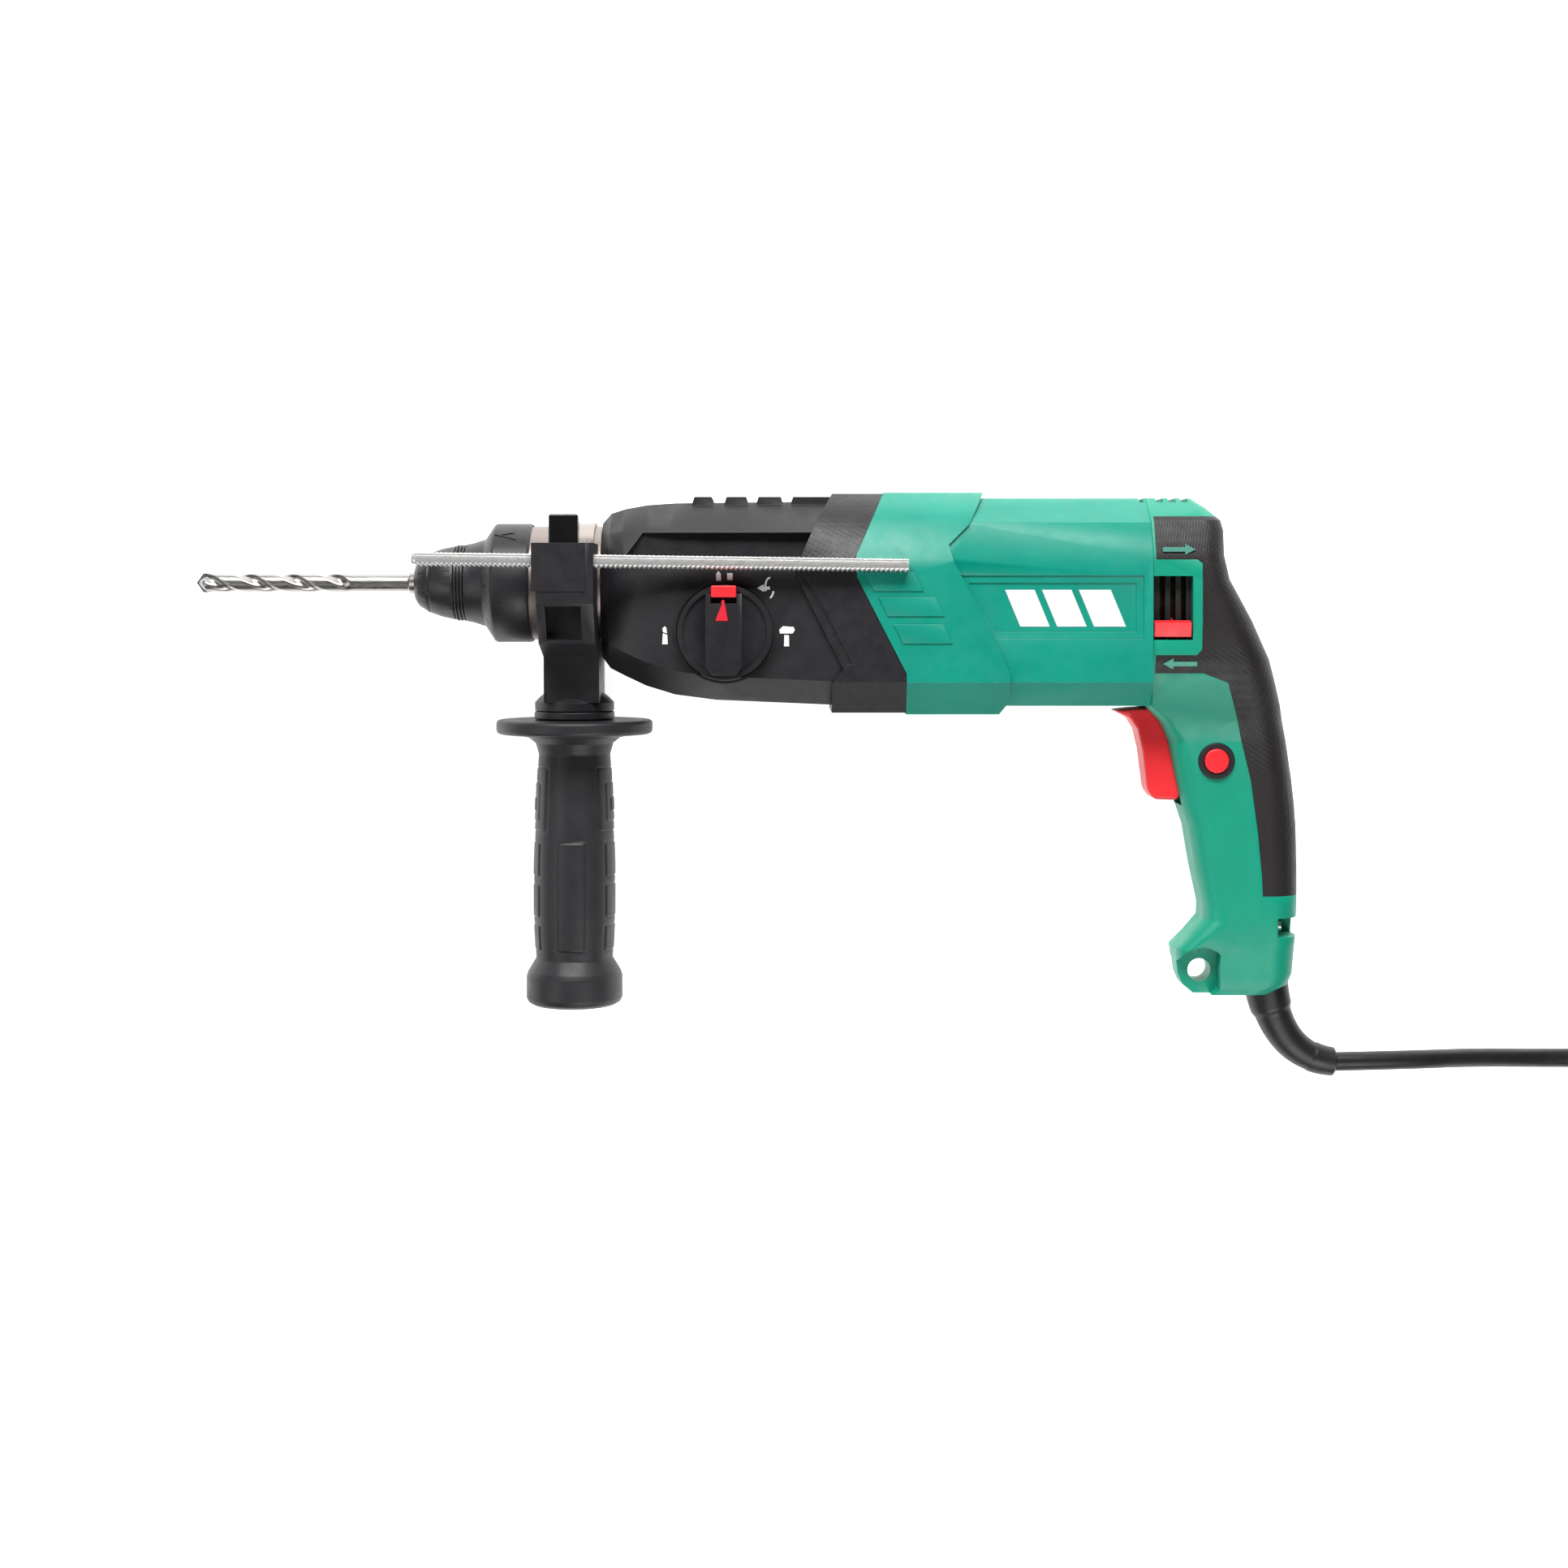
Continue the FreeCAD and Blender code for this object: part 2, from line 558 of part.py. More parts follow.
def carbon_brushes():
    brushes = []
    for side in (-1, 1):
        z0, z1 = sorted((side * 12.9, side * 19.5))
        brushes.append(box(312.5, 317.5, MOTOR_Y - 3.4, MOTOR_Y + 3.4, z0, z1))
    return Part.makeCompound(brushes)


def reversing_lever():
    """Red finger piece on the brush ring, reaching out through the left window."""
    angle = -19.0
    stem = box(313.2, 314.6, MOTOR_Y - 1.2, MOTOR_Y + 1.2, 26.0, 35.5)
    cap = box(305.4, 320.6, MOTOR_Y - 3.0, MOTOR_Y + 3.0, 32.6, 38.6)
    cap = cap.common(tube_x(300, 330, 38.4, 34.3, MOTOR_Y))
    lever = stem.fuse(cap)
    lever.rotate(Vector(0, MOTOR_Y, 0), Vector(1, 0, 0), -angle)
    return lever


def bearing_plate():
    body = section_prism(inset_section(CAVITY_SECTION, 0.6), 196, 203)
    body = body.cut(rod_x(190, 210, 9.5, MOTOR_Y)).cut(rod_x(190, 198.5, 8, LAY_Y))
    body = body.cut(rod_x(190, 210, 4.6, LAY_Y))
    for z in (-22, 22):
        body = body.cut(rod_x(190, 210, 2.1, 16, z)).cut(rod_x(190, 210, 2.1, -36, z))
    return body


def spindle_bearing_holder():
    return tube_x(140.6, 147, 22.2, 18.4, 0).cut(box(130, 150, -40, -13.5, -40, 40))


# ============================== mode knob, trigger, buttons ==================================
def mode_knob():
    base = rod_z(KNOB_FACE_Z + 0.4, 41.0, KNOB_R, *KNOB_AT)
    base = base.cut(rod_z(39.6, 42, KNOB_R - 2.0, *KNOB_AT))
    x, y = KNOB_AT
    grip = plate_xy([(x - 7.6, y + 15.6), (x + 7.0, y + 15.6), (x + 7.0, y - 14.4), (x + 4.6, y - 17.4),
                     (x - 4.8, y - 17.4), (x - 7.6, y - 14.4)], 38, 46.4)
    stem = rod_z(17.2, KNOB_FACE_Z + 1, 6.0, x, y)
    slot = box(x - 5.6, x + 5.0, y + 11.6, y + 19, 40.2, 50)
    mark = plate_xy([(x - 3.9, y + 4.4), (x, y + 13.6), (x + 1.7, y + 4.4)], 45.8, 47)
    eccentric = rod_z(10.2, 18, 1.8, x + 3.4, y)
    return fused([base, grip, stem, eccentric]).cut(slot).cut(mark)


def knob_release():
    x, y = KNOB_AT
    return box(x - 5.4, x + 4.8, y + 14.0, y + 18.8, 40.4, 46.9)


def trigger():
    outline = [(292.9, -53.4), (300, -52.6), (310.1, -52.0), (317.4, -54.6), (319.4, -61), (321.4, -72),
               (322.8, -86.1), (319, -90.9), (309.6, -90.6), (306.7, -86.8), (304.6, -70), (302.6, -61.4),
               (299.6, -56.6)]
    return plate_xy(outline, -9.2, 9.2)


def switch_module():
    return box(332.5, 350, -104, -62.5, -11.0, 9.0)


def lock_button():
    return rod_z(11.6, 19.6, 5.1, *LOCK_BUTTON_AT)


def lock_bezel():
    return rod_z(14.2, 18.7, 7.5, *LOCK_BUTTON_AT).cut(rod_z(14, 20, 5.2, *LOCK_BUTTON_AT))


# ============================== side handle ==================================================
def clamp_body():
    x0, x1 = 55.2, 78.2
    outline = [(18, 15.6), (47, 15.6), (47, -9), (36, -25), (16, -31), (15, -50), (-15, -50),
               (-15, -16), (10, -10)]
    body = plate_yz(outline, x0, x1)
    body = body.fuse(box(BLOCK_X[0], BLOCK_X[1], -4, 15.6, 27, 47.4))
    body = body.fuse(turned_y([(-46, 12), (-48, 14.5), (-50.2, 16.6), (-53.6, 16.6), (-53.6, 6), (-46, 6)]))
    body = body.cut(rod_x(40, 90, 25.6)).cut(box(58.6, 73, -23.6, -10, 33.5, 50))
    body = body.cut(rod_y(-60, -20, 4.2)).cut(box(56, 77.4, -36, -20, -7.2, 7.2))
    body = body.cut(depth_rod_solid(3.0, 20))
    return body.cut(box(59.8, 72.4, 12.0, 16, 37.6, 46.8))


def clamp_band():
    ring = tube_x(57.5, 76, BAND_R[1], BAND_R[0])
    tang = box(57.5, 76, -35, -24.3, -7, 7).cut(rod_x(50, 80, BAND_R[0]))
    return ring.fuse(tang).cut(rod_y(-40, -20, 4.2)).cut(clamp_bolt())


def clamp_bolt():
    head = box(61.5, 71.9, -29.5, -26.2, -5.2, 5.2)
    return fused([rod_y(-104, -27, 4.0), head])


def clamp_washer():
    return turned_y([(-54.0, 4.3), (-54.0, 16.8), (-57.2, 16.8), (-57.2, 4.3)])


def side_grip():
    body = turned_y([(-57.6, 4.4), (-57.6, FLANGE_R - 1.2), (-58.8, FLANGE_R), (-62.2, FLANGE_R),
                     (-63.4, FLANGE_R - 1.5), (-64.2, 20), (-67.6, 15.2), (-72, 14.8), (-78, 15.6),
                     (-100, 16.4), (-118, 17.2), (-140, 17.2), (-152, 16.4), (-157, 16.0), (-163, 19.6),
                     (-164.6, 20.2), (-174.4, 20.2), (-176.6, 18.6), (GRIP_END_Y, 10), (GRIP_END_Y, 0),
                     (-110, 0), (-110, 4.4)])
    return body.cut(rod_y(-84, -68, 7.02))


def grip_nut():
    return rod_y(-83.8, -68.2, 7.0).cut(rod_y(-90, -60, 4.02))


def depth_rod_solid(radius, extra=0.0):
    span = Vector(ROD_X[1] - ROD_X[0], ROD_Y[1] - ROD_Y[0], 0)
    length = span.Length
    direction = span.normalize()
    start = Vector(ROD_X[0], ROD_Y[0], ROD_Z) - direction * extra
    return Part.makeCylinder(radius, length + 2 * extra, start, direction)


def depth_rod():
    return depth_rod_solid(ROD_R)


def rod_release():
    cap = box(60.2, 72.0, 16.6, 27.2, 37.9, 46.5)
    stem = box(60.2, 72.0, 14.2, 17, 37.9, 46.5).cut(rod_x(50, 80, 6, 7.9, ROD_Z))
    return cap.fuse(stem)


# ============================== small parts ==================================================
def housing_screws():
    screws = []
    for z in (-22, 22):
        for y in (16, -36):
            screws.append(rod_x(189, 222, 2.0, y, z).fuse(rod_x(203.2, 206.4, 3.6, y, z)))
    screws.append(rod_x(340, 361.4, 2.0, -143.4, 6).fuse(rod_x(359.4, 362.4, 3.6, -143.4, 6)))
    return Part.makeCompound(screws)


def relief_path(t):
    """Centre line of the cord guard, a cubic curve from the handle to the cord."""
    p = [Vector(357.6, -166.5, 0), Vector(359.6, -183, 0), Vector(366.4, -200, 0), Vector(*CORD_EXIT)]
    s = 1 - t
    return p[0] * s ** 3 + p[1] * 3 * s * s * t + p[2] * 3 * s * t * t + p[3] * t ** 3


def relief_solid(bore, stations=15):
    """Tapered sleeve lofted through circles square to its centre line."""
    wires = []
    for step in range(stations):
        t = step / (stations - 1)
        tangent = relief_path(min(t + 0.01, 1.0)) - relief_path(max(t - 0.01, 0.0))
        if step == stations - 1:
            tangent = Vector(1, 0, 0)
        radius = 8.6 - 2.8 * t if bore == 0 else bore
        wires.append(Part.Wire(Part.makeCircle(radius, relief_path(t), tangent)))
    return Part.makeLoft(wires, True, False)


def cord_guard():
    collar = rod_x(CORD_EXIT[0] - 9, CORD_EXIT[0], 6.0, CORD_EXIT[1])
    return relief_solid(0, 14).fuse(collar)


def cord_clamp():
    return box(350.5, 364, -158, -152, -8, 8)


# ============================== cord =========================================================
LEAD_ROUTE = [CORD_EXIT, (418, -201.2, -1), (448, -203, -16), (480, -206, -31),
              (512, -206.6, CORD_REST_Z), (COIL_AT[0], COIL_AT[1] - COIL_RADII[1], CORD_REST_Z)]
TAIL_TOP_Z = CORD_REST_Z + (COIL_LAYERS - 1) * CORD_D
TAIL_X = COIL_AT[0] + COIL_RADII[1]
TAIL_ROUTE = [(TAIL_X, COIL_AT[1], TAIL_TOP_Z), (TAIL_X + 0.6, COIL_AT[1] + 32, TAIL_TOP_Z - 1),
              (TAIL_X + 0.2, COIL_AT[1] + 60, TAIL_TOP_Z - 16), (TAIL_X - 1, COIL_AT[1] + 90, CORD_REST_Z)]


def cord_tube(route, name):
    """Straight runs joined by tangent arcs, as large as their two runs allow."""
    points = [Vector(*p) for p in route]
    edges = []
    start = points[0]
    length = 0.0
    radii = []
    for before, corner, after in zip(points, points[1:], points[2:]):
        back = (before - corner).normalize()
        ahead = (after - corner).normalize()
        turn = math.pi - back.getAngle(ahead)
        reach = 0.45 * min((before - corner).Length, (after - corner).Length)
        radius = reach / math.tan(turn / 2)
        radii.append(round(radius, 1))
        first = corner + back * reach
        last = corner + ahead * reach
        middle = corner + (back + ahead).normalize() * (radius / math.cos(turn / 2) - radius)
        edges.append(Part.LineSegment(start, first).toShape())
        edges.append(Part.Arc(first, middle, last).toShape())
        length += (first - start).Length + radius * turn
        start = last
    edges.append(Part.LineSegment(start, points[-1]).toShape())
    length += (points[-1] - start).Length
    circle = Part.makeCircle(CORD_D / 2, points[0], points[1] - points[0])
    tube = Part.Wire(edges).makePipeShell([Part.Wire(circle)], True, True)
    print(name, "length", round(length, 1), "radii", radii,
          "volume ratio", round(tube.Volume / (math.pi * CORD_D ** 2 / 4 * length), 4))
    return tube


def coil_ring():
    inner = COIL_RADII[0] - CORD_D / 2
    outer = COIL_RADII[1] + CORD_D / 2
    z0 = FLOOR_Z
    z1 = FLOOR_Z + COIL_LAYERS * CORD_D + 0.1
    points = [Vector(COIL_AT[0] + r, COIL_AT[1], z) for r, z in
              ((inner + 2, z0), (outer - 2, z0), (outer, z0 + 3), (outer, z1 - 3), (outer - 2, z1),
               (inner + 2, z1), (inner, z1 - 3), (inner, z0 + 3))]
    face = Part.Face(Part.makePolygon(points + points[:1]))
    return face.revolve(Vector(COIL_AT[0], COIL_AT[1], 0), Vector(0, 0, 1), 360)


def plug():
    x, y, _ = TAIL_ROUTE[-1]
    z = FLOOR_Z + 7.5
    outline = [(x - 6, y), (x + 6, y), (x + 8, y + 10), (x + 13, y + 18), (x + 13, y + 34), (x - 13, y + 34),
               (x - 13, y + 18), (x - 8, y + 10)]
    pins = [rod_y(y + 33, y + 53, 2.0, x + side * 9.5, z) for side in (-1, 1)]
    return fused([plate_xy(outline, z - 7.5, z + 7.5)] + pins)


# ============================== nodes ========================================================
def build():
    """Every node of the object, by name, in the working frame."""
    lead = cord_tube(LEAD_ROUTE, "cord_lead")
    tail = cord_tube(TAIL_ROUTE, "cord_tail")
    ring = coil_ring()
    nodes = {
        "drill_bit": drill_bit(), "dust_cap": dust_cap(), "locking_sleeve": locking_sleeve(), "locking_balls": locking_balls(),
        "spindle": spindle(), "spindle_gear": spindle_gear(),
        "sleeve_spring": spring_x(25.4, 34.4, 11.3, 0.6, 3),
        "clutch_spring": spring_x(101, 116, 16.6, 1.1, 4),
        "impact_bolt": impact_bolt(), "striker": striker(), "piston": piston(),
        "swivel_pin": swivel_pin(), "wobble_plate": wobble_plate(), "lay_shaft": lay_shaft(),
        "lay_gear": lay_gear(), "clutch_sleeve": clutch_sleeve(),
        "spindle_seal": tube_x(44.5, 49, 17.9, SPINDLE_R + 0.05),
        "spindle_bearings": Part.makeCompound([ball_bearing(52, 62, SPINDLE_R + 0.04, 18.0, 0, 10),
                                               ball_bearing(139, 146, CYLINDER_R + 0.04, 18.4, 0, 20)]),
        "spindle_bearing_holder": spindle_bearing_holder(),
        "shaft_bearings": Part.makeCompound([ball_bearing(107, 112, 4.04, 8.0, LAY_Y, 7),
                                             ball_bearing(192.4, 196, 4.04, 8.0, LAY_Y, 7),
                                             ball_bearing(196, 202, 4.04, 9.5, MOTOR_Y),
                                             ball_bearing(327, 332, 4.04, 9.5, MOTOR_Y)]),
        "bearing_plate": bearing_plate(), "barrel_collar": barrel_collar(),
        "gear_housing": gear_housing(), "gear_housing_rear": gear_housing_rear(),
        "motor_housing": motor_housing(), "handle_front": handle_front(), "rear_cover": rear_cover(),
        "rubber_overmould": rubber_layer(), "vent_grilles": vent_grilles(),
        "armature_shaft": armature_shaft(), "armature_core": armature_core(),
        "armature_windings": armature_windings(), "commutator": commutator(), "fan": fan(),
        "stator_core": stator_core(), "field_coils": field_coils(),
        "brush_holders": Part.makeCompound([brush_ring()] + brush_holders().Solids), "carbon_brushes": carbon_brushes(),
        "reversing_lever": reversing_lever(), "mode_knob": mode_knob(),
        "knob_release": knob_release(), "trigger": trigger(), "switch_module": switch_module(),
        "lock_button": lock_button(), "lock_bezel": lock_bezel(), "clamp_body": clamp_body(),
        "clamp_band": clamp_band(), "clamp_bolt": clamp_bolt(), "clamp_washer": clamp_washer(),
        "side_grip": side_grip(), "grip_nut": grip_nut(), "depth_rod": depth_rod(),
        "rod_release": rod_release(), "housing_screws": housing_screws(),
        "cord_guard": cord_guard(), "cord_clamp": cord_clamp(), "cord_lead": lead.cut(ring),
        "cord_tail": tail.cut(ring), "cord_coil": ring, "plug": plug(),
    }
    return nodes


# The object's box without its cord: the bit's tip to the cord guard's end, and the cord guard's
# underside to the top of the housing.
SHIFT = Vector(-(BIT_TIP_X + CORD_EXIT[0]) / 2, -(HOUSING_TOP + CORD_EXIT[1] - 6.0) / 2, -FLOOR_Z)

if __name__ == "__main__":
    os.makedirs("parts", exist_ok=True)
    for node, shape in build().items():
        shape.translate(SHIFT)
        if not shape.isValid() or not shape.Solids:
            print("check", node, shape.isValid(), len(shape.Solids))
        shape.exportStep("parts/%s.step" % node)
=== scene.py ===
"""Looks of a corded rotary hammer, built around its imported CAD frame.

Lengths in the functions are millimetres in the maker's frame: x runs back from the nose along the
spindle axis, y points to the tool's top, z to its left side.  to_row() turns them into the frame's
metres.
"""
import json
import math

import bmesh
import bpy
import numpy as np
from bpy.props import FloatProperty, FloatVectorProperty, IntProperty, PointerProperty
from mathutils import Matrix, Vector
from mathutils.bvhtree import BVHTree


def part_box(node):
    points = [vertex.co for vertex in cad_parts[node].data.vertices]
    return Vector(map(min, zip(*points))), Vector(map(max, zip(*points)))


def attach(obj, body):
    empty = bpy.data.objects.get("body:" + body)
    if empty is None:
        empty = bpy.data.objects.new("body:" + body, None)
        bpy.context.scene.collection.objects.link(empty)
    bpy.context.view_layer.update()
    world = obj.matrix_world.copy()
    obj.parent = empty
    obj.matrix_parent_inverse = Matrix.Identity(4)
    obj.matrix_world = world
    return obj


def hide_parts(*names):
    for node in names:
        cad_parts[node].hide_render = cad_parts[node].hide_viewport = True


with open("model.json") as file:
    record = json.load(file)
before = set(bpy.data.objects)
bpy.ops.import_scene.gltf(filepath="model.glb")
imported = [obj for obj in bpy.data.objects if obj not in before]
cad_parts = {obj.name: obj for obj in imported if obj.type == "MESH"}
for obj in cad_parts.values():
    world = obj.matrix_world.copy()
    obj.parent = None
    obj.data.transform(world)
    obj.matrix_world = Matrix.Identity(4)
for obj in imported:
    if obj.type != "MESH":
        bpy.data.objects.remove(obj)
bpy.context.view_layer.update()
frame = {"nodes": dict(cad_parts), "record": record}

bl_info = {
    "name": "Rotary Hammer",
    "version": (1, 0, 0),
    "blender": (4, 5, 0),
    "location": "View3D > Sidebar > Rotary Hammer",
    "description": "Builds the visible surfaces and finishes of a rotary hammer",
    "category": "Add Mesh",
}

BODY_OF = {node: body for body, nodes in frame["record"]["behaviour"]["bodies"].items() for node in nodes}
SLOT_OF = {row["node"]: row["material_slot"] for row in frame["record"]["subparts"]}
_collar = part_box("barrel_collar")
_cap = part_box("dust_cap")
ORIGIN = np.array([_cap[0][0], (_collar[0][1] + _collar[1][1]) / 2, (_collar[0][2] + _collar[1][2]) / 2])
MM = 0.001


# ============================== sizes and colours a user would change ========================
class HammerSizes(bpy.types.PropertyGroup):
    """Sizes of the visible pieces."""
    bit_radius: FloatProperty(name="Bit radius", description="Radius over the bit's lands",
                              default=0.0038, unit="LENGTH")
    bit_pitch: FloatProperty(name="Flute pitch", description="Length of one turn of a flute",
                             default=0.036, unit="LENGTH")
    tooth_pitch: FloatProperty(name="Rod tooth pitch", description="Spacing of the depth rod's teeth",
                               default=0.00195, unit="LENGTH")
    edge: FloatProperty(name="Edge radius", default=0.001, unit="LENGTH",
                        description="Rounding of the gear housing's edges, which the others follow")
    cord_diameter: FloatProperty(name="Cord diameter", description="Outside diameter of the cord",
                                 default=0.008, unit="LENGTH")
    coil_turns: IntProperty(name="Coil turns", description="Turns of the put-away coil", default=8, min=1)


class HammerColours(bpy.types.PropertyGroup):
    """Colours of the finishes, scene linear."""
    green: FloatVectorProperty(name="Green", description="Housing plastic", subtype="COLOR",
                               default=(0.001, 0.300, 0.215))
    red: FloatVectorProperty(name="Red", description="Trigger, lever and buttons", subtype="COLOR",
                             default=(0.95, 0.028, 0.038))
    black: FloatVectorProperty(name="Black", description="Gear housing plastic", subtype="COLOR",
                               default=(0.016, 0.0145, 0.017))
    rubber: FloatVectorProperty(name="Rubber", description="Handle overmould", subtype="COLOR",
                                default=(0.015, 0.0125, 0.0125))
    grip: FloatVectorProperty(name="Side grip", description="Side handle rubber", subtype="COLOR",
                              default=(0.021, 0.019, 0.022))
    steel: FloatVectorProperty(name="Steel", description="Ground and plated steel", subtype="COLOR",
                               default=(0.72, 0.70, 0.68))
    floor: FloatVectorProperty(name="Floor", description="Studio floor", subtype="COLOR",
                               default=(0.93, 0.93, 0.93))


def sizes():
    return bpy.context.scene.hammer_sizes


def colours():
    return bpy.context.scene.hammer_colours


# ============================== places and meshes ============================================
def to_row(points):
    """Maker's millimetres to the frame's metres."""
    return np.asarray(points, dtype=float) * MM + ORIGIN


def new_piece(name, vertices, faces, smooth=True):
    mesh = bpy.data.meshes.new(name)
    mesh.from_pydata(np.asarray(vertices).tolist(), [], faces)
    mesh.polygons.foreach_set("use_smooth", np.full(len(mesh.polygons), smooth))
    mesh.update()
    piece = bpy.data.objects.new(name, mesh)
    bpy.context.scene.collection.objects.link(piece)
    return piece


def grid_faces(rows, columns):
    """Quads of a rows x columns grid, joined round the columns."""
    i, j = np.meshgrid(np.arange(rows - 1), np.arange(columns), indexing="ij")
    k = (j + 1) % columns
    this_row, next_row = i * columns, (i + 1) * columns
    quads = np.stack([this_row + j, this_row + k, next_row + k, next_row + j], axis=-1)
    return quads.reshape(-1, 4).tolist()


def surface(name, grid, capped=True, sharp=40.0):
    """A grid of points (rows, columns, 3) as a mesh, its two ends closed by a fan to their middle."""
    rows, columns, _ = grid.shape
    vertices = grid.reshape(-1, 3)
    faces = grid_faces(rows, columns)
    if capped:
        first_middle, last_middle, last_row = rows * columns, rows * columns + 1, (rows - 1) * columns
        vertices = np.concatenate([vertices, [grid[0].mean(axis=0), grid[-1].mean(axis=0)]])
        pairs = [(j, (j + 1) % columns) for j in range(columns)]
        faces += [[first_middle, b, a] for a, b in pairs]
        faces += [[last_middle, last_row + a, last_row + b] for a, b in pairs]
    piece = new_piece(name, to_row(vertices), faces)
    face_outwards(piece.data)
    piece.data.set_sharp_from_angle(angle=math.radians(sharp))
    return piece


def face_outwards(mesh):
    """Merge doubles, drop empty faces and point every face outwards."""
    bm = bmesh.new()
    bm.from_mesh(mesh)
    bmesh.ops.remove_doubles(bm, verts=bm.verts, dist=1e-7)
    bmesh.ops.dissolve_degenerate(bm, edges=bm.edges, dist=1e-8)
    bmesh.ops.recalc_face_normals(bm, faces=bm.faces)
    bm.to_mesh(mesh)
    bm.free()


def turned(name, profile, axis="x", centre=(0.0, 0.0), columns=96, relief=None, sharp=30.0):
    """Surface of revolution: (station, radius) points carried round an axis.

    point = centre + radius * (cos a, sin a), with relief(station, a) added to the radius.
    """
    stations, radii = (np.array(side, dtype=float) for side in zip(*profile))
    angle = np.linspace(0, 2 * np.pi, columns, endpoint=False)
    s, a = np.meshgrid(stations, angle, indexing="ij")
    r = np.repeat(radii[:, None], columns, axis=1)
    if relief is not None:
        r = r + relief(s, a)
    if axis == "x":
        grid = np.stack([s, centre[0] + r * np.cos(a), centre[1] + r * np.sin(a)], axis=-1)
    else:
        grid = np.stack([centre[0] + r * np.cos(a), s, centre[1] + r * np.sin(a)], axis=-1)
    return surface(name, grid, sharp=sharp)


def refined(profile, step=1.0):
    """The same profile with points at most step apart, so that relief has somewhere to go."""
    out = [profile[0]]
    for (s0, r0), (s1, r1) in zip(profile, profile[1:]):
        count = max(1, int(math.ceil(math.hypot(s1 - s0, r1 - r0) / step)))
        out += [(s0 + (s1 - s0) * n / count, r0 + (r1 - r0) * n / count) for n in range(1, count + 1)]
    return out


def smoothstep(low, high, value):
    t = np.clip((value - low) / (high - low), 0.0, 1.0)
    return t * t * (3 - 2 * t)


def squared(wave, power):
    """A sine or cosine flattened towards a square wave, as in a superellipse."""
    return np.sign(wave) * np.abs(wave) ** power


MARK_ROOT = 0.3                       # how far a mark reaches below the surface that it stands on


def mark(name, outline, base, thickness):
    """Flat raised mark: an outline in (x, y) that stands on the height base."""
    n = len(outline)
    vertices = [(x, y, base + lift) for lift in (-MARK_ROOT, thickness) for x, y in outline]
    faces = [[n + k for k in range(n)], [n - 1 - k for k in range(n)]]
    faces += [[k, (k + 1) % n, n + (k + 1) % n, n + k] for k in range(n)]
    piece = new_piece(name, to_row(vertices), faces, smooth=False)
    face_outwards(piece.data)
    return piece


def height_on(*nodes):
    """Height of the named CAD nodes' left side over a place, found by looking straight down at them."""
    meshes = [frame["nodes"][node].data for node in nodes]
    trees = [BVHTree.FromPolygons([v.co for v in mesh.vertices], [p.vertices for p in mesh.polygons])
             for mesh in meshes]

    def at(x, y):
        hits = [tree.ray_cast(Vector(to_row((x, y, 120.0))), Vector((0, 0, -1)))[0] for tree in trees]
        heights = [(place[2] - ORIGIN[2]) / MM for place in hits if place is not None]
        return max(heights) if heights else 0.0
    return at


def arrow(x, y, length, height, direction=1):
    """Flat arrow from its tail at x, along +x or -x."""
    neck, half = length - height * 0.95, height / 2
    stem = half * 0.42
    points = [(0, -stem), (neck, -stem), (neck, -half), (length, 0), (neck, half), (neck, stem), (0, stem)]
    return [(x + direction * a, y + b) for a, b in points][::direction]


def slit_ring(x, y, outer, inner, steps=72):
    """Outline of a thin ring, open at a slit one degree wide."""
    turn = np.radians(np.linspace(0.5, 359.5, steps))
    return ([(x + outer * math.cos(a), y + outer * math.sin(a)) for a in turn]
            + [(x + inner * math.cos(a), y + inner * math.sin(a)) for a in turn[::-1]])


def skin(node, edge, finish=None, segments=2):
    """A merged copy of a CAD node with flat faces joined up and edges rounded.

    edge is a share of the edge radius in the sizes.
    """
    mesh = frame["nodes"][node].data.copy()
    mesh.name = node + "_skin"
    bm = bmesh.new()
    bm.from_mesh(mesh)
    bmesh.ops.remove_doubles(bm, verts=bm.verts, dist=2e-6)
    bmesh.ops.dissolve_limit(bm, angle_limit=math.radians(0.6), verts=bm.verts, edges=bm.edges)
    bmesh.ops.connect_verts_concave(bm, faces=[face for face in bm.faces if len(face.verts) > 4])
    bm.to_mesh(mesh)
    bm.free()
    mesh.polygons.foreach_set("use_smooth", np.full(len(mesh.polygons), True))
    mesh.set_sharp_from_angle(angle=math.radians(32))
    piece = bpy.data.objects.new(mesh.name, mesh)
    bpy.context.scene.collection.objects.link(piece)
    bevel = piece.modifiers.new("edges", "BEVEL")
    bevel.width = sizes().edge * edge
    bevel.segments = segments
    bevel.limit_method = "ANGLE"
    bevel.angle_limit = math.radians(28)
    bevel.harden_normals = True
    return settle(piece, node, FINISH[finish or SLOT_OF[node]])


def settle(piece, node, material, hides=True):
    """Ride a new piece on the body of its CAD node, stand for that node and take its finish."""
    piece.data.materials.clear()
    piece.data.materials.append(material)
    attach(piece, BODY_OF[node])
    if hides:
        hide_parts(node)
    return piece


# ============================== finishes =====================================================
def node_of(tree, kind, **values):
    node = tree.nodes.new(kind)
    for key, value in values.items():
        setattr(node, key, value)
    return node


def shader(name, metallic=0.0, coat=0.0):
    material = bpy.data.materials.new(name)
    material.use_nodes = True
    tree = material.node_tree
    principled = tree.nodes["Principled BSDF"]
    principled.inputs["Metallic"].default_value = metallic
    principled.inputs["Coat Weight"].default_value = coat
    return material, tree, principled


def mapped(tree, stretch=(1, 1, 1), turn=(0, 0, 0)):
    """Object coordinates, stretched and turned for a directional pattern."""
    coordinates = node_of(tree, "ShaderNodeTexCoord")
    mapping = node_of(tree, "ShaderNodeMapping")
    mapping.inputs["Scale"].default_value = stretch
    mapping.inputs["Rotation"].default_value = turn
    tree.links.new(coordinates.outputs["Object"], mapping.inputs["Vector"])
    return mapping.outputs["Vector"]


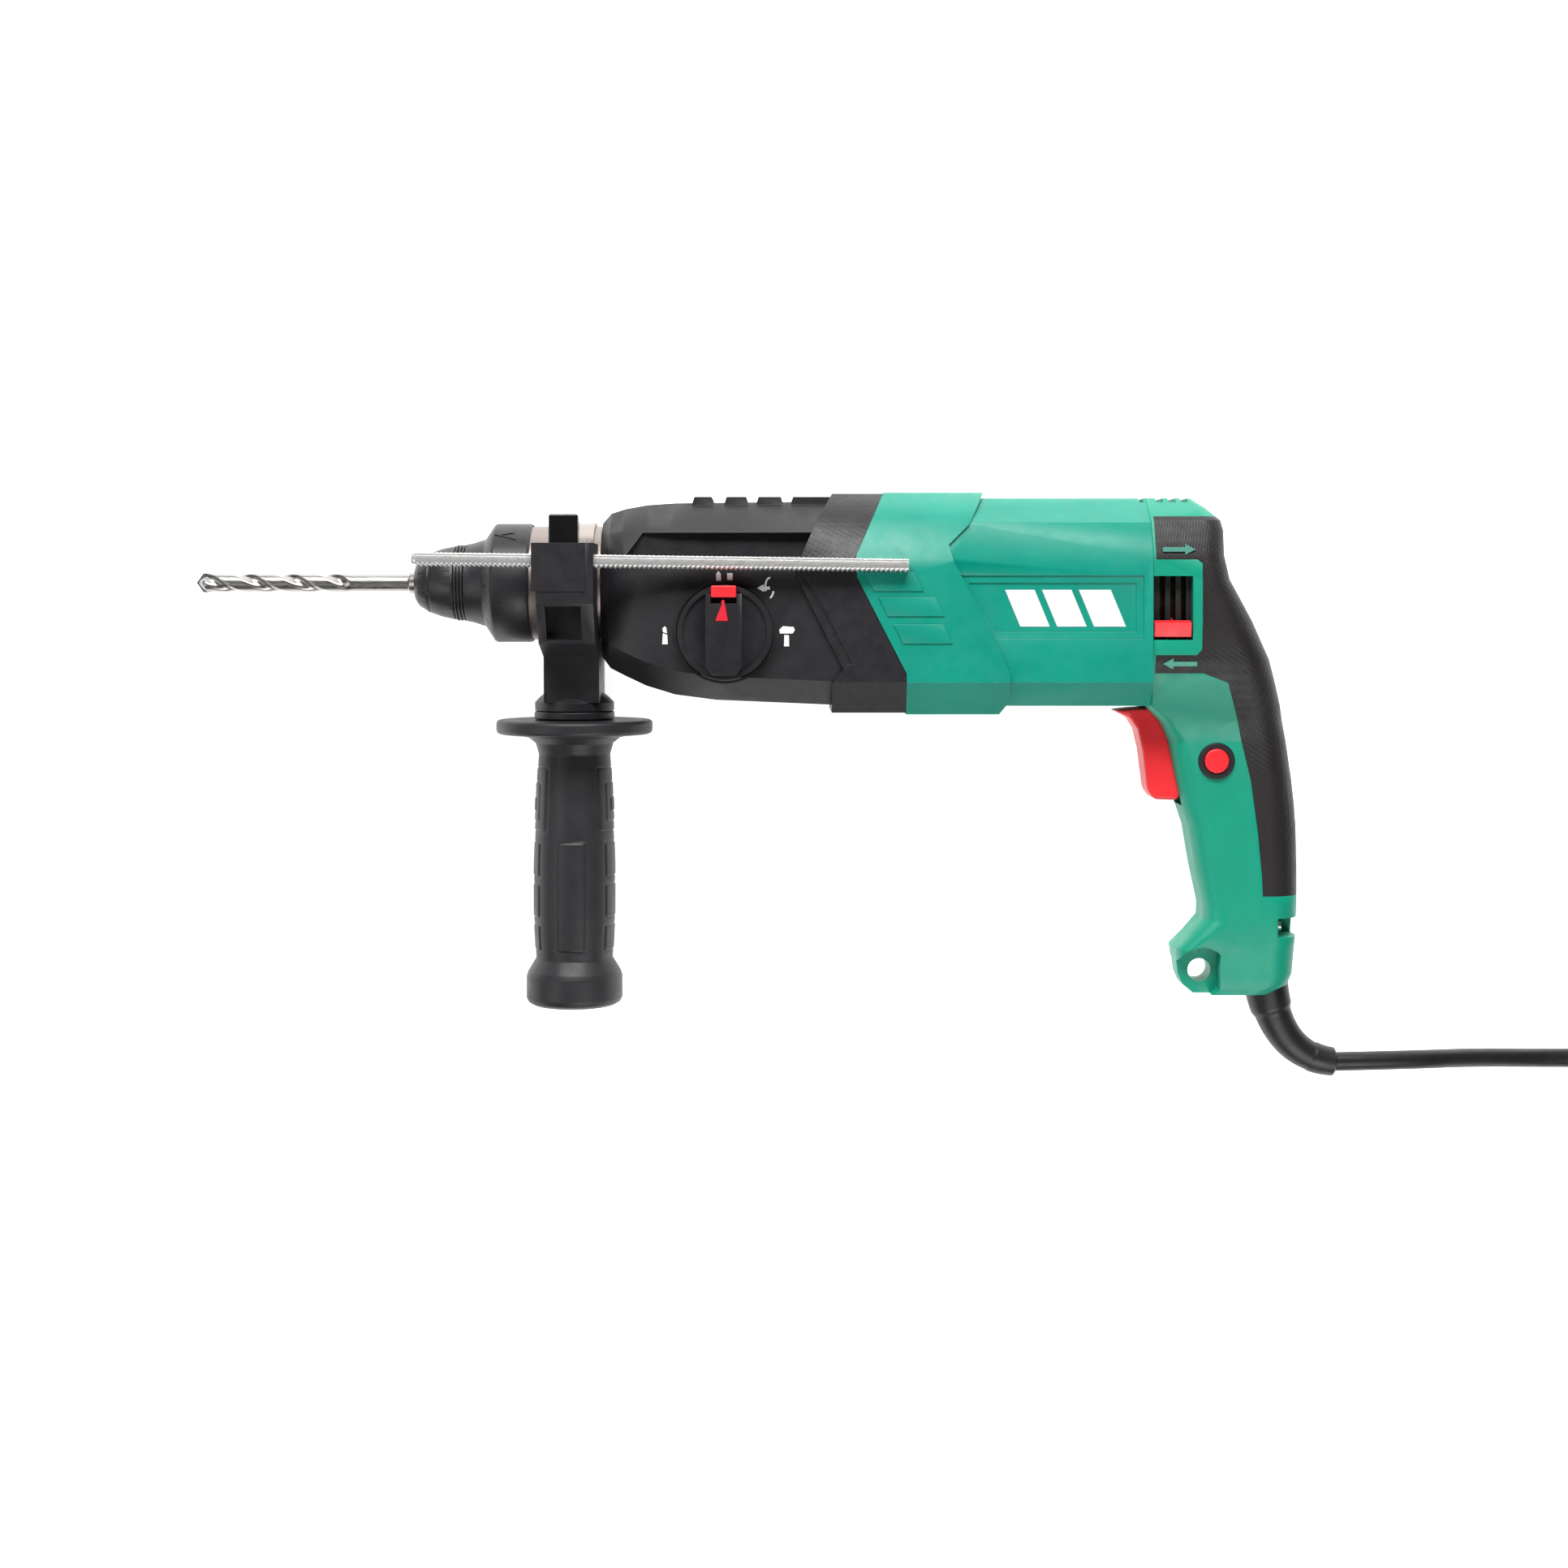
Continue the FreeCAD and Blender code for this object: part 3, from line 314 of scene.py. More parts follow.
def noise(tree, vector, per_metre, detail=3.0):
    texture = node_of(tree, "ShaderNodeTexNoise")
    texture.inputs["Scale"].default_value = per_metre
    texture.inputs["Detail"].default_value = detail
    tree.links.new(vector, texture.inputs["Vector"])
    return texture.outputs["Fac"]


def remap(tree, source, low, high, start=0.3, end=0.7):
    mapping = node_of(tree, "ShaderNodeMapRange")
    mapping.inputs["From Min"].default_value = start
    mapping.inputs["From Max"].default_value = end
    mapping.inputs["To Min"].default_value = low
    mapping.inputs["To Max"].default_value = high
    tree.links.new(source, mapping.inputs["Value"])
    return mapping.outputs["Result"]


def tinted(tree, principled, factor, dark, light):
    """Base colour between two tints of one colour."""
    mix = node_of(tree, "ShaderNodeMix", data_type="RGBA")
    mix.inputs["A"].default_value = (*dark, 1)
    mix.inputs["B"].default_value = (*light, 1)
    tree.links.new(factor, mix.inputs["Factor"])
    tree.links.new(mix.outputs["Result"], principled.inputs["Base Color"])


def bumped(tree, principled, height, distance_mm):
    bump = node_of(tree, "ShaderNodeBump")
    bump.inputs["Distance"].default_value = distance_mm * MM
    bump.inputs["Strength"].default_value = 1.0
    tree.links.new(height, bump.inputs["Height"])
    tree.links.new(bump.outputs["Normal"], principled.inputs["Normal"])


def moulded(name, colour, roughness, grain=2600.0, depth=0.02, spread=0.08, coat=0.0):
    """Moulded plastic or rubber: fine spark grain, soft mottling of colour and gloss."""
    material, tree, principled = shader(name, coat=coat)
    vector = mapped(tree)
    broad = noise(tree, vector, 45.0, 4.0)
    colour = np.array(colour)
    dark, light = colour * (1 - spread), colour * (1 + spread)
    tinted(tree, principled, remap(tree, broad, 0, 1), dark, light)
    tree.links.new(remap(tree, noise(tree, vector, 160.0), roughness - 0.05, roughness + 0.06),
                   principled.inputs["Roughness"])
    bumped(tree, principled, noise(tree, vector, grain, 2.0), depth)
    return material


def glowing(material):
    """Lightbox floor: the finish with light of its own."""
    principled = material.node_tree.nodes["Principled BSDF"]
    principled.inputs["Emission Color"].default_value = (1, 1, 1, 1)
    principled.inputs["Emission Strength"].default_value = 0.85
    return material


def dimpled(name, colour, roughness, cell=0.0021, depth=0.10, turn=(0, 0, 0.5), stretch=(1, 1, 1)):
    """Rubber or plastic with a regular field of small dimples over a fine grain."""
    material, tree, principled = shader(name)
    vector = mapped(tree, stretch, turn)
    cells = node_of(tree, "ShaderNodeTexVoronoi")
    cells.inputs["Scale"].default_value = 1.0 / cell
    cells.inputs["Randomness"].default_value = 0.12
    tree.links.new(vector, cells.inputs["Vector"])
    colour = np.array(colour)
    tinted(tree, principled, remap(tree, noise(tree, vector, 60.0), 0, 1), colour * 0.9, colour * 1.12)
    tree.links.new(remap(tree, noise(tree, vector, 200.0), roughness - 0.05, roughness + 0.05),
                   principled.inputs["Roughness"])
    bumped(tree, principled, remap(tree, cells.outputs["Distance"], 0, 1, 0.1, 0.55), depth)
    return material


def ground_metal(name, colour, roughness, stretch=(1, 12, 12), depth=0.006, spread=0.10):
    """Ground or drawn metal: streaks along the working direction and faint stains."""
    material, tree, principled = shader(name, metallic=1.0)
    vector = mapped(tree, stretch)
    streaks = noise(tree, vector, 260.0, 4.0)
    colour = np.array(colour)
    dark, light = colour * (1 - spread), colour * (1 + spread * 0.4)
    tinted(tree, principled, remap(tree, streaks, 0, 1), dark, light)
    tree.links.new(remap(tree, streaks, roughness - 0.06, roughness + 0.08), principled.inputs["Roughness"])
    bumped(tree, principled, streaks, depth)
    return material


def painted_reflection(material, metallic):
    """The same finish, less mirror-like: part of it turns diffuse, so its light base colour shows as a
    painted reflection, an even bright sheen.
    """
    material.node_tree.nodes["Principled BSDF"].inputs["Metallic"].default_value = metallic
    return material


def make_finishes():
    """One material for each finish of the object, by slot name."""
    c = colours()
    green = np.array(c.green)
    steel = np.array(c.steel)
    return {
        "green_plastic": moulded("green_plastic", green, 0.42, 3000.0, 0.012, 0.05),
        "green_handle": moulded("green_handle", green * (1.1, 1.12, 0.98), 0.44, 3000.0, 0.012, 0.05),
        "red_plastic": moulded("red_plastic", c.red, 0.38, 2600.0, 0.006, 0.05),
        "black_plastic": moulded("black_plastic", c.black, 0.46, 1500.0, 0.035, 0.10),
        "black_plastic_rear": dimpled("black_plastic_rear", c.black, 0.44, 0.0019, 0.05),
        "handle_rubber": dimpled("handle_rubber", c.rubber, 0.52, 0.0011, 0.10, (0, 0, 0.35),
                                 (1, 0.55, 0.55)),
        "sleeve_plastic": moulded("sleeve_plastic", np.array(c.black) * 1.1, 0.40, 1800.0, 0.015, 0.08),
        "knob_plastic": moulded("knob_plastic", np.array(c.black) * 1.05, 0.40, 2200.0, 0.012, 0.08),
        "clamp_plastic": moulded("clamp_plastic", np.array(c.black) * 1.25, 0.42, 1700.0, 0.02, 0.12),
        "grip_rubber": moulded("grip_rubber", c.grip, 0.47, 2400.0, 0.02, 0.08),
        "button_plastic": moulded("button_plastic", (0.008, 0.008, 0.009), 0.20, 1200.0, 0.004, 0.05),
        "switch_black": moulded("switch_black", (0.012, 0.012, 0.012), 0.5),
        "black_rubber": moulded("black_rubber", (0.020, 0.019, 0.021), 0.38, 2000.0, 0.01, 0.08),
        "cord_rubber": moulded("cord_rubber", (0.017, 0.016, 0.017), 0.42, 1800.0, 0.012, 0.08),
        "plug_plastic": moulded("plug_plastic", (0.02, 0.02, 0.021), 0.45),
        "white_print": moulded("white_print", (0.86, 0.86, 0.88), 0.5, 2000.0, 0.004, 0.02),
        "red_print": moulded("red_print", (0.75, 0.02, 0.04), 0.4, 2000.0, 0.004, 0.03),
        "green_print": moulded("green_print", (0.09, 0.33, 0.25), 0.5, 2000.0, 0.006, 0.04),
        "bit_steel": ground_metal("bit_steel", steel * 0.62, 0.32, (1, 6, 6), 0.0006, 0.10),
        # rod_steel: painted reflection, the steel made partly diffuse so that it shows bright in its own
        # colour
        "rod_steel": painted_reflection(ground_metal("rod_steel", (0.70, 0.69, 0.68), 0.30, (1, 9, 9), 0.0004, 0.05),
                            metallic=0.6),
        "collar_metal": ground_metal("collar_metal", (0.33, 0.285, 0.26), 0.40, (12, 1, 1), 0.008, 0.10),
        "band_steel": ground_metal("band_steel", (0.42, 0.37, 0.34), 0.32, (12, 1, 1), 0.005, 0.08),
        "hardened_steel": ground_metal("hardened_steel", (0.42, 0.42, 0.43), 0.3, (12, 1, 1)),
        "gear_steel": ground_metal("gear_steel", (0.46, 0.45, 0.43), 0.34, (1, 1, 1)),
        "bearing_steel": ground_metal("bearing_steel", (0.62, 0.62, 0.64), 0.2, (12, 1, 1)),
        "spring_steel": ground_metal("spring_steel", (0.3, 0.3, 0.31), 0.35, (1, 1, 1)),
        "cast_aluminium": ground_metal("cast_aluminium", (0.52, 0.52, 0.52), 0.5, (1, 1, 1), 0.03),
        "zinc_steel": ground_metal("zinc_steel", (0.6, 0.6, 0.57), 0.32, (1, 1, 1)),
        "core_steel": ground_metal("core_steel", (0.25, 0.25, 0.26), 0.45, (40, 1, 1), 0.02),
        "copper_wire": ground_metal("copper_wire", (0.72, 0.32, 0.15), 0.35, (30, 1, 1), 0.05),
        "brass_guides": ground_metal("brass_guides", (0.10, 0.075, 0.035), 0.45, (1, 1, 1)),
        "fan_plastic": moulded("fan_plastic", (0.12, 0.12, 0.12), 0.5),
        "carbon": moulded("carbon", (0.012, 0.012, 0.012), 0.6),
        "floor": glowing(moulded("floor", c.floor, 0.75, 300.0, 0.0005, 0.003)),
    }


FINISH = {}


# ============================== stage ========================================================
EYE = (154.9, -10.9, 1000.0)          # where the camera stands, above the tool's left side
VIEW_WIDTH = 660.7                    # width seen at the tool's mid-plane
VIEW_DROP = 216 / 1932                # share of that width by which the view's middle lies below the eye
FLOOR_HALF = 3.0                      # metres from the floor's middle to its edge
LAMPS = (                             # name, stands at, points at, width and height in metres, watts
    ("key_light", (120, 780, 640), (190, -40, 0), 1.0, 0.4, 15.5),
    ("low_fill", (420, -640, 620), (260, -100, 0), 0.7, 0.5, 4.2),
    ("side_fill", (-560, -250, 700), (100, -60, 0), 0.5, 0.5, 1.6),
)


class HAMMER_OT_stage(bpy.types.Operator):
    """Floor, soft studio light and camera"""
    bl_idname = "hammer.stage"
    bl_label = "Studio"

    def execute(self, context):
        middle = to_row((150, -60, 0))
        corners = [(middle[0] + x * FLOOR_HALF, middle[1] + y * FLOOR_HALF, 0.0)
                   for x, y in ((-1, -1), (1, -1), (1, 1), (-1, 1))]
        floor = new_piece("studio_floor", corners, [[0, 1, 2, 3]])
        floor.data.materials.append(FINISH["floor"])
        for lamp in LAMPS:
            self.lamp(*lamp)
        self.sky(context)
        self.camera(context)
        return {"FINISHED"}

    def sky(self, context):
        """Soft light that is dark below the tool and brightest over its top."""
        world = bpy.data.worlds.new("studio")
        world.use_nodes = True
        tree = world.node_tree
        background = tree.nodes["Background"]
        direction = node_of(tree, "ShaderNodeTexCoord")
        split = node_of(tree, "ShaderNodeSeparateXYZ")
        tree.links.new(direction.outputs["Generated"], split.inputs["Vector"])
        tree.links.new(remap(tree, split.outputs["Y"], 0.16, 1.15, 0.0, 0.9), background.inputs["Strength"])
        context.scene.world = world
        context.scene.view_settings.view_transform = "Standard"

    def camera(self, context):
        camera = bpy.data.cameras.new("camera")
        camera.sensor_width = 36.0
        camera.lens = 36.0 * EYE[2] / VIEW_WIDTH
        camera.shift_y = -VIEW_DROP
        camera.clip_end = 20.0
        seat = bpy.data.objects.new("camera", camera)
        seat.location = to_row(EYE)
        context.scene.collection.objects.link(seat)
        context.scene.camera = seat

    def lamp(self, name, at, towards, width, height, power):
        light = bpy.data.lights.new(name, "AREA")
        light.shape = "RECTANGLE"
        light.size = width
        light.size_y = height
        light.energy = power
        seat = bpy.data.objects.new(name, light)
        seat.location = to_row(at)
        direction = Vector(to_row(towards)) - Vector(to_row(at))
        seat.rotation_euler = direction.to_track_quat("-Z", "Y").to_euler()
        bpy.context.scene.collection.objects.link(seat)


# ============================== cord =========================================================
CORD_R = 4.0
FLOOR_Z = -38.0
REST_Z = FLOOR_Z + CORD_R + 0.05
COIL_AT = (555.0, -157.0)
COIL_RADII = (41.0, 49.0)
COIL_LAYERS = 4
TOP_Z = REST_Z + (COIL_LAYERS - 1) * 2 * CORD_R
TAIL_X = COIL_AT[0] + COIL_RADII[1]
LEAD_ROUTE = [(386.6, -201.7, 0), (418, -201.2, -1), (448, -203, -16), (480, -206, -31),
              (512, -206.6, REST_Z)]
TAIL_ROUTE = [(TAIL_X + 0.6, COIL_AT[1] + 32, TOP_Z - 1), (TAIL_X + 0.2, COIL_AT[1] + 60, TOP_Z - 16),
              (TAIL_X - 1, COIL_AT[1] + 90, REST_Z)]
POINTS_PER_TURN = 16


def coil_points(turns):
    """Turns of a round coil, wound up from the floor and passing from column to column.

    Angle grows evenly; radius and height step smoothly from one turn's place to the next.
    """
    outer, inner = COIL_RADII[1], COIL_RADII[0]
    places = [(radius, layer) for layer in range(COIL_LAYERS)
              for radius in ((outer, inner) if layer % 2 == 0 else (inner, outer))]
    points = []
    total = int(turns * POINTS_PER_TURN + POINTS_PER_TURN * 0.25)
    for step in range(1, total):
        turn = step / POINTS_PER_TURN
        index = min(int(turn), len(places) - 1)
        ahead = min(index + 1, len(places) - 1)
        share = float(smoothstep(0.72, 1.0, turn - index)) if index < len(places) - 1 else 0.0
        radius = places[index][0] * (1 - share) + places[ahead][0] * share
        layer = places[index][1] * (1 - share) + places[ahead][1] * share
        angle = -math.pi / 2 + 2 * math.pi * turn
        points.append((COIL_AT[0] + radius * math.cos(angle), COIL_AT[1] + radius * math.sin(angle),
                       REST_Z + layer * 2 * CORD_R))
    return points


class HAMMER_OT_cord(bpy.types.Operator):
    """Cord with its guard, put-away coil, tie and plug"""
    bl_idname = "hammer.cord"
    bl_label = "Cord"

    def execute(self, context):
        start = [(COIL_AT[0], COIL_AT[1] - COIL_RADII[1], REST_Z)]
        route = LEAD_ROUTE + start + coil_points(sizes().coil_turns) + TAIL_ROUTE
        curve = bpy.data.curves.new("mains_cord", "CURVE")
        curve.dimensions = "3D"
        spline = curve.splines.new("NURBS")
        spline.points.add(len(route) - 1)
        for point, place in zip(spline.points, route):
            point.co = (*to_row(place), 1.0)
        spline.order_u = 3
        spline.use_endpoint_u = True
        curve.resolution_u = 6
        curve.bevel_depth = sizes().cord_diameter / 2
        curve.bevel_resolution = 5
        curve.use_fill_caps = True
        cord = bpy.data.objects.new("mains_cord", curve)
        context.scene.collection.objects.link(cord)
        curve.materials.append(FINISH["cord_rubber"])
        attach(cord, "housing")
        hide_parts("cord_lead", "cord_tail", "cord_coil")
        plug = self.plug()
        tie = self.tie()
        self.guard()
        return {"FINISHED"}

    def tie(self):
        """Strap round the coil: a rounded rectangle section carried once round the turns."""
        gap, corner = 0.4, 3.0
        inner = COIL_RADII[0] - CORD_R - gap
        outer = COIL_RADII[1] + CORD_R + gap
        low, high = FLOOR_Z + 0.7, FLOOR_Z + COIL_LAYERS * 2 * CORD_R + 0.7
        loop = [(inner + corner, low), (outer - corner, low), (outer, FLOOR_Z + corner),
                (outer, high - corner), (outer - corner, high), (inner + corner, high),
                (inner, high - corner), (inner, FLOOR_Z + corner)]
        centre = np.array([(inner + outer) / 2, (FLOOR_Z + high) / 2])
        base = np.array(loop)
        rows = []
        outwards = (base - centre) / np.linalg.norm(base - centre, axis=1)[:, None]
        for side, lift in ((-7.5, 0.0), (-7.5, 0.9), (7.5, 0.9), (7.5, 0.0), (-7.5, 0.0)):
            section = base + outwards * lift
            section[:, 1] = np.maximum(section[:, 1], FLOOR_Z + 0.1)
            x = np.full(len(section), COIL_AT[0] + side)
            rows.append(np.stack([x, COIL_AT[1] + section[:, 0], section[:, 1]], axis=-1))
        piece = surface("cord_tie", np.array(rows), capped=False)
        piece.data.materials.append(FINISH["switch_black"])
        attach(piece, "housing")
        return piece

    def plug(self):
        """Two-pin plug: superellipse sections that widen from the cord to the flat face."""
        x, y, _ = TAIL_ROUTE[-1]
        z = FLOOR_Z + 7.5
        stations = [(0, 5.0, 5.0), (1, 5.6, 5.6), (7, 6.2, 6.0), (8, 7.4, 6.6), (13, 9.5, 7.0),
                    (18, 12.3, 7.4), (31, 12.8, 7.4), (33, 12.4, 7.2), (34, 11.0, 6.2)]
        angle = np.linspace(0, 2 * np.pi, 48, endpoint=False)
        rows = []
        for along, half_x, half_z in stations:
            across, up = squared(np.cos(angle), 0.6) * half_x, squared(np.sin(angle), 0.6) * half_z
            rows.append(np.stack([x + across, np.full(len(angle), y + along), z + up], axis=-1))
        body = surface("plug_body", np.array(rows))
        profile = [(33, 2.0), (44, 2.0), (44.2, 1.9), (51.6, 1.9), (52.6, 1.4), (53, 0.6)]
        for pin_x in (x - 9.5, x + 9.5):
            pin = turned("plug_pin", [(y + along, r) for along, r in profile], "y", (pin_x, z), 24)
            pin.data.materials.append(FINISH["zinc_steel"])
            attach(pin, "housing")
        return settle(body, "plug", FINISH["plug_plastic"])

    def guard(self):
        """Cord guard: a tapered tube with a collar at each end, carried along a cubic curve."""
        p = np.array([(357.6, -166.5, 0), (359.6, -183, 0), (366.4, -200, 0), (386.6, -201.7, 0)])
        t = np.linspace(0, 1, 90)[:, None]
        rest = 1 - t
        path = p[0] * rest ** 3 + 3 * p[1] * t * rest ** 2 + 3 * p[2] * t * t * rest + p[3] * t ** 3
        tangent = np.gradient(path, axis=0)
        tangent /= np.linalg.norm(tangent, axis=1)[:, None]
        across = np.stack([tangent[:, 1], -tangent[:, 0], np.zeros(len(path))], axis=-1)
        share = t[:, 0]
        radius = 8.5 - 2.9 * share
        radius += 0.9 * smoothstep(0.30, 0.24, share) * smoothstep(0.0, 0.05, share)
        radius += 0.35 * smoothstep(0.80, 0.84, share)
        radius[-1] -= 0.8
        angle = np.linspace(0, 2 * np.pi, 40, endpoint=False)[None, :, None]
        spoke = np.cos(angle) * across[:, None] + np.sin(angle) * np.array([0, 0, 1.0])
        grid = path[:, None] + radius[:, None, None] * spoke
        settle(surface("cord_guard_sleeve", grid), "cord_guard", FINISH["cord_rubber"])


# ============================== housings and handle ==========================================
class HAMMER_OT_housings(bpy.types.Operator):
    """Gear housing, motor housing and handle shells"""
    bl_idname = "hammer.housings"
    bl_label = "Housings"

    def execute(self, context):
        for node, edge in (("gear_housing", 1.0), ("gear_housing_rear", 0.9), ("motor_housing", 0.9),
                           ("handle_front", 0.8), ("rear_cover", 0.8), ("rubber_overmould", 0.7),
                           ("vent_grilles", 0.3), ("barrel_collar", 0.4)):
            skin(node, edge)
        return {"FINISHED"}


class HAMMER_OT_controls(bpy.types.Operator):
    """Trigger, lock-on button, reversing lever and mode knob"""
    bl_idname = "hammer.controls"
    bl_label = "Controls"

    def execute(self, context):
        for node, edge in (("trigger", 2.2), ("lock_button", 0.8), ("lock_bezel", 0.5),
                           ("reversing_lever", 0.8), ("mode_knob", 0.7), ("knob_release", 0.6)):
            skin(node, edge, segments=3)
        return {"FINISHED"}


class HAMMER_OT_holder(bpy.types.Operator):
    """Dust cap, locking sleeve and drill bit"""
    bl_idname = "hammer.holder"
    bl_label = "Tool holder"

    def execute(self, context):
        skin("dust_cap", 0.4, "black_rubber")
        skin("locking_sleeve", 0.6, "sleeve_plastic")
        self.bit()
        self.sleeve_arrow()
        return {"FINISHED"}

    def bit(self):
        """Two-flute bit: r = land - depth * cut(p), with phase p = (a - 2 pi x / pitch) mod pi.

        cut rises and falls by smooth steps over the flute; the shank has two round-ended slots.
        """
        land, pitch = sizes().bit_radius / MM, sizes().bit_pitch / MM
        flute_depth, slot_depth = 1.35, 0.85

        def relief(x, a):
            phase = (a - 2 * np.pi * (x + 88.0) / pitch) % np.pi
            cut = smoothstep(0.1, 0.5, phase) * smoothstep(1.75, 0.9, phase)
            flutes = cut * smoothstep(-91.0, -87.0, x) * smoothstep(-26.8, -32.0, x)
            along = smoothstep(13.2, 15.6, x) * smoothstep(31, 28.4, x)
            slots = smoothstep(0.5, 0.25, np.abs(np.cos(a))) * along
            return -flute_depth * flutes - slot_depth * slots

        neck, shank = 3.6, 4.93
        profile = [(-92.2, 0.05), (-91.3, 1.0), (-89.4, 2.9), (-88.2, land), (-28.4, land),
                   (-26.5, neck + 0.02), (-3.2, neck), (-2.6, 4.4), (0, shank), (50, shank), (52, 3.8)]
        bit = turned("sds_bit", refined(profile, 0.45), columns=72, relief=relief, sharp=50)
        settle(bit, "drill_bit", FINISH["bit_steel"])
        half_edge = [(-91.2, 1.6), (-89.6, 3.9), (-88.6, 4.05), (-85.6, 3.7)]
        edge = [(-92.4, 0)] + half_edge + [(x, -y) for x, y in reversed(half_edge)]
        tip = mark("carbide_edge", edge, -0.5, 1.3)
        settle(tip, "drill_bit", FINISH["hardened_steel"], hides=False)

    def sleeve_arrow(self):
        """Small open triangle embossed on the sleeve's upper left."""
        outer = [(34.8, 0.0), (43.5, 2.4), (44.0, -3.2)]
        inner = [(37.2, -0.1), (42.5, 1.3), (42.8, -2.0)]
        sleeve_r, lean = 24.9, math.radians(38)
        vertices, faces = [], []
        for outline, lift in ((outer, -0.2), (outer, 0.35), (inner, 0.35), (inner, -0.2)):
            for x, across in outline:
                a = lean - across / sleeve_r
                vertices.append((x, (sleeve_r + lift) * math.cos(a), (sleeve_r + lift) * math.sin(a)))
        for k in range(3):
            for j in range(3):
                m = (j + 1) % 3
                faces.append([k * 3 + j, k * 3 + m, (k + 1) * 3 + m, (k + 1) * 3 + j])
        piece = new_piece("sleeve_arrow", to_row(vertices), faces, smooth=False)
        settle(piece, "locking_sleeve", FINISH["knob_plastic"], hides=False)


GRIP_X = 66.7


class HAMMER_OT_side_handle(bpy.types.Operator):
    """Side handle clamp, grip and depth rod"""
    bl_idname = "hammer.side_handle"
    bl_label = "Side handle"

    def execute(self, context):
        for node, edge in (("clamp_body", 0.6), ("clamp_band", 0.2), ("clamp_washer", 0.6),
                           ("rod_release", 0.8)):
            skin(node, edge)
        self.grip()
        self.rod()
        return {"FINISHED"}

    def grip(self):
        """Turned grip with panels: r = profile + lift * S - groove * 4 S (1 - S).

        S is a smooth rectangle in (a, y), one for each panel.
        """
        lift, groove, soft = 0.22, 0.38, 1.2
        front_panel = (0.40, -107.6, -154.2)
        side_panels = [(0.66, -108, -123.5), (0.66, -125.5, -140.5), (0.66, -142.5, -154.5),
                       (0.88, -77.0, -104.5), (0.60, -83.0, -100.5), (0.34, -89.0, -96.5)]
        panels = [(centre, front_panel) for centre in (0.0, np.pi)]
        panels += [(centre, panel) for centre in (np.pi / 2, -np.pi / 2) for panel in side_panels]

        def relief(y, a):
            out = np.zeros_like(y)
            for centre, (half, top, bottom) in panels:
                off = np.abs((a - np.pi / 2 - centre + np.pi) % (2 * np.pi) - np.pi)
                s = (smoothstep(half, half - 0.07, off) * smoothstep(bottom, bottom + soft, y)
                     * smoothstep(top, top - soft, y))
                out += lift * s - groove * 4 * s * (1 - s)
            return out

        rim = 32.8
        flange = [(-57.6, 7.2), (-57.6, rim - 1.2), (-58.0, rim - 0.4), (-58.8, rim), (-62.0, rim),
                  (-63.0, rim - 0.5), (-63.5, rim - 1.7), (-64.0, 24.0), (-64.9, 19.4), (-67.4, 16.3)]
        body = [(-72, 15.0), (-78, 15.4), (-100, 16.3), (-118, 17.0), (-140, 17.0), (-152, 16.4),
                (-157.5, 16.1)]
        foot = [(-163, 19.4), (-165, 20.1), (-174.0, 20.2), (-175.8, 19.4), (-177.0, 17.4), (-177.8, 12),
                (-177.9, 1)]
        profile = flange + body + foot
        grip = turned("grip_sleeve", refined(profile, 0.55), "y", (GRIP_X, 0), 160, relief, 50)
        settle(grip, "side_grip", FINISH["grip_rubber"])

    def rod(self):
        """Toothed rod: a rounded rectangle section of half height h - d |2 frac(x / pitch) - 1|.

        h and d are 2.95 and 0.75 below, where the teeth are, and 2.85 and 0.22 above.
        """
        pitch = sizes().tooth_pitch / MM
        start, end, half_width = np.array([3.9, 9.2, 42.2]), np.array([205.7, 6.5, 42.2]), 2.8
        x = np.arange(start[0], end[0], pitch / 4)
        tooth = np.abs(((x - start[0]) / pitch % 1.0) * 2 - 1)
        round_end = np.sqrt(np.clip(1 - np.clip(1 - (x - start[0] + 0.02) / 2.6, 0, 1) ** 2, 0.02, 1))
        angle = np.linspace(0, 2 * np.pi, 28, endpoint=False)
        cy, cz = squared(np.cos(angle), 0.55), squared(np.sin(angle), 0.75)
        lower = (2.95 - 0.75 * tooth)[:, None] * np.minimum(cy, 0)
        upper = (2.85 - 0.22 * tooth)[:, None] * np.maximum(cy, 0)
        share = ((x - start[0]) / (end[0] - start[0]))[:, None]
        y = start[1] + (end[1] - start[1]) * share + (lower + upper) * round_end[:, None]
        groove = 0.5 * np.exp(-((cy - 0.62) / 0.16) ** 2) * (cz > 0)
        z = start[2] + (half_width * cz - groove)[None] * round_end[:, None]
        grid = np.stack([np.repeat(x[:, None], len(angle), axis=1), y, z], axis=-1)
        settle(surface("toothed_rod", grid, sharp=35), "depth_rod", FINISH["rod_steel"])


KNOB_AT = (130.9, -20.4)


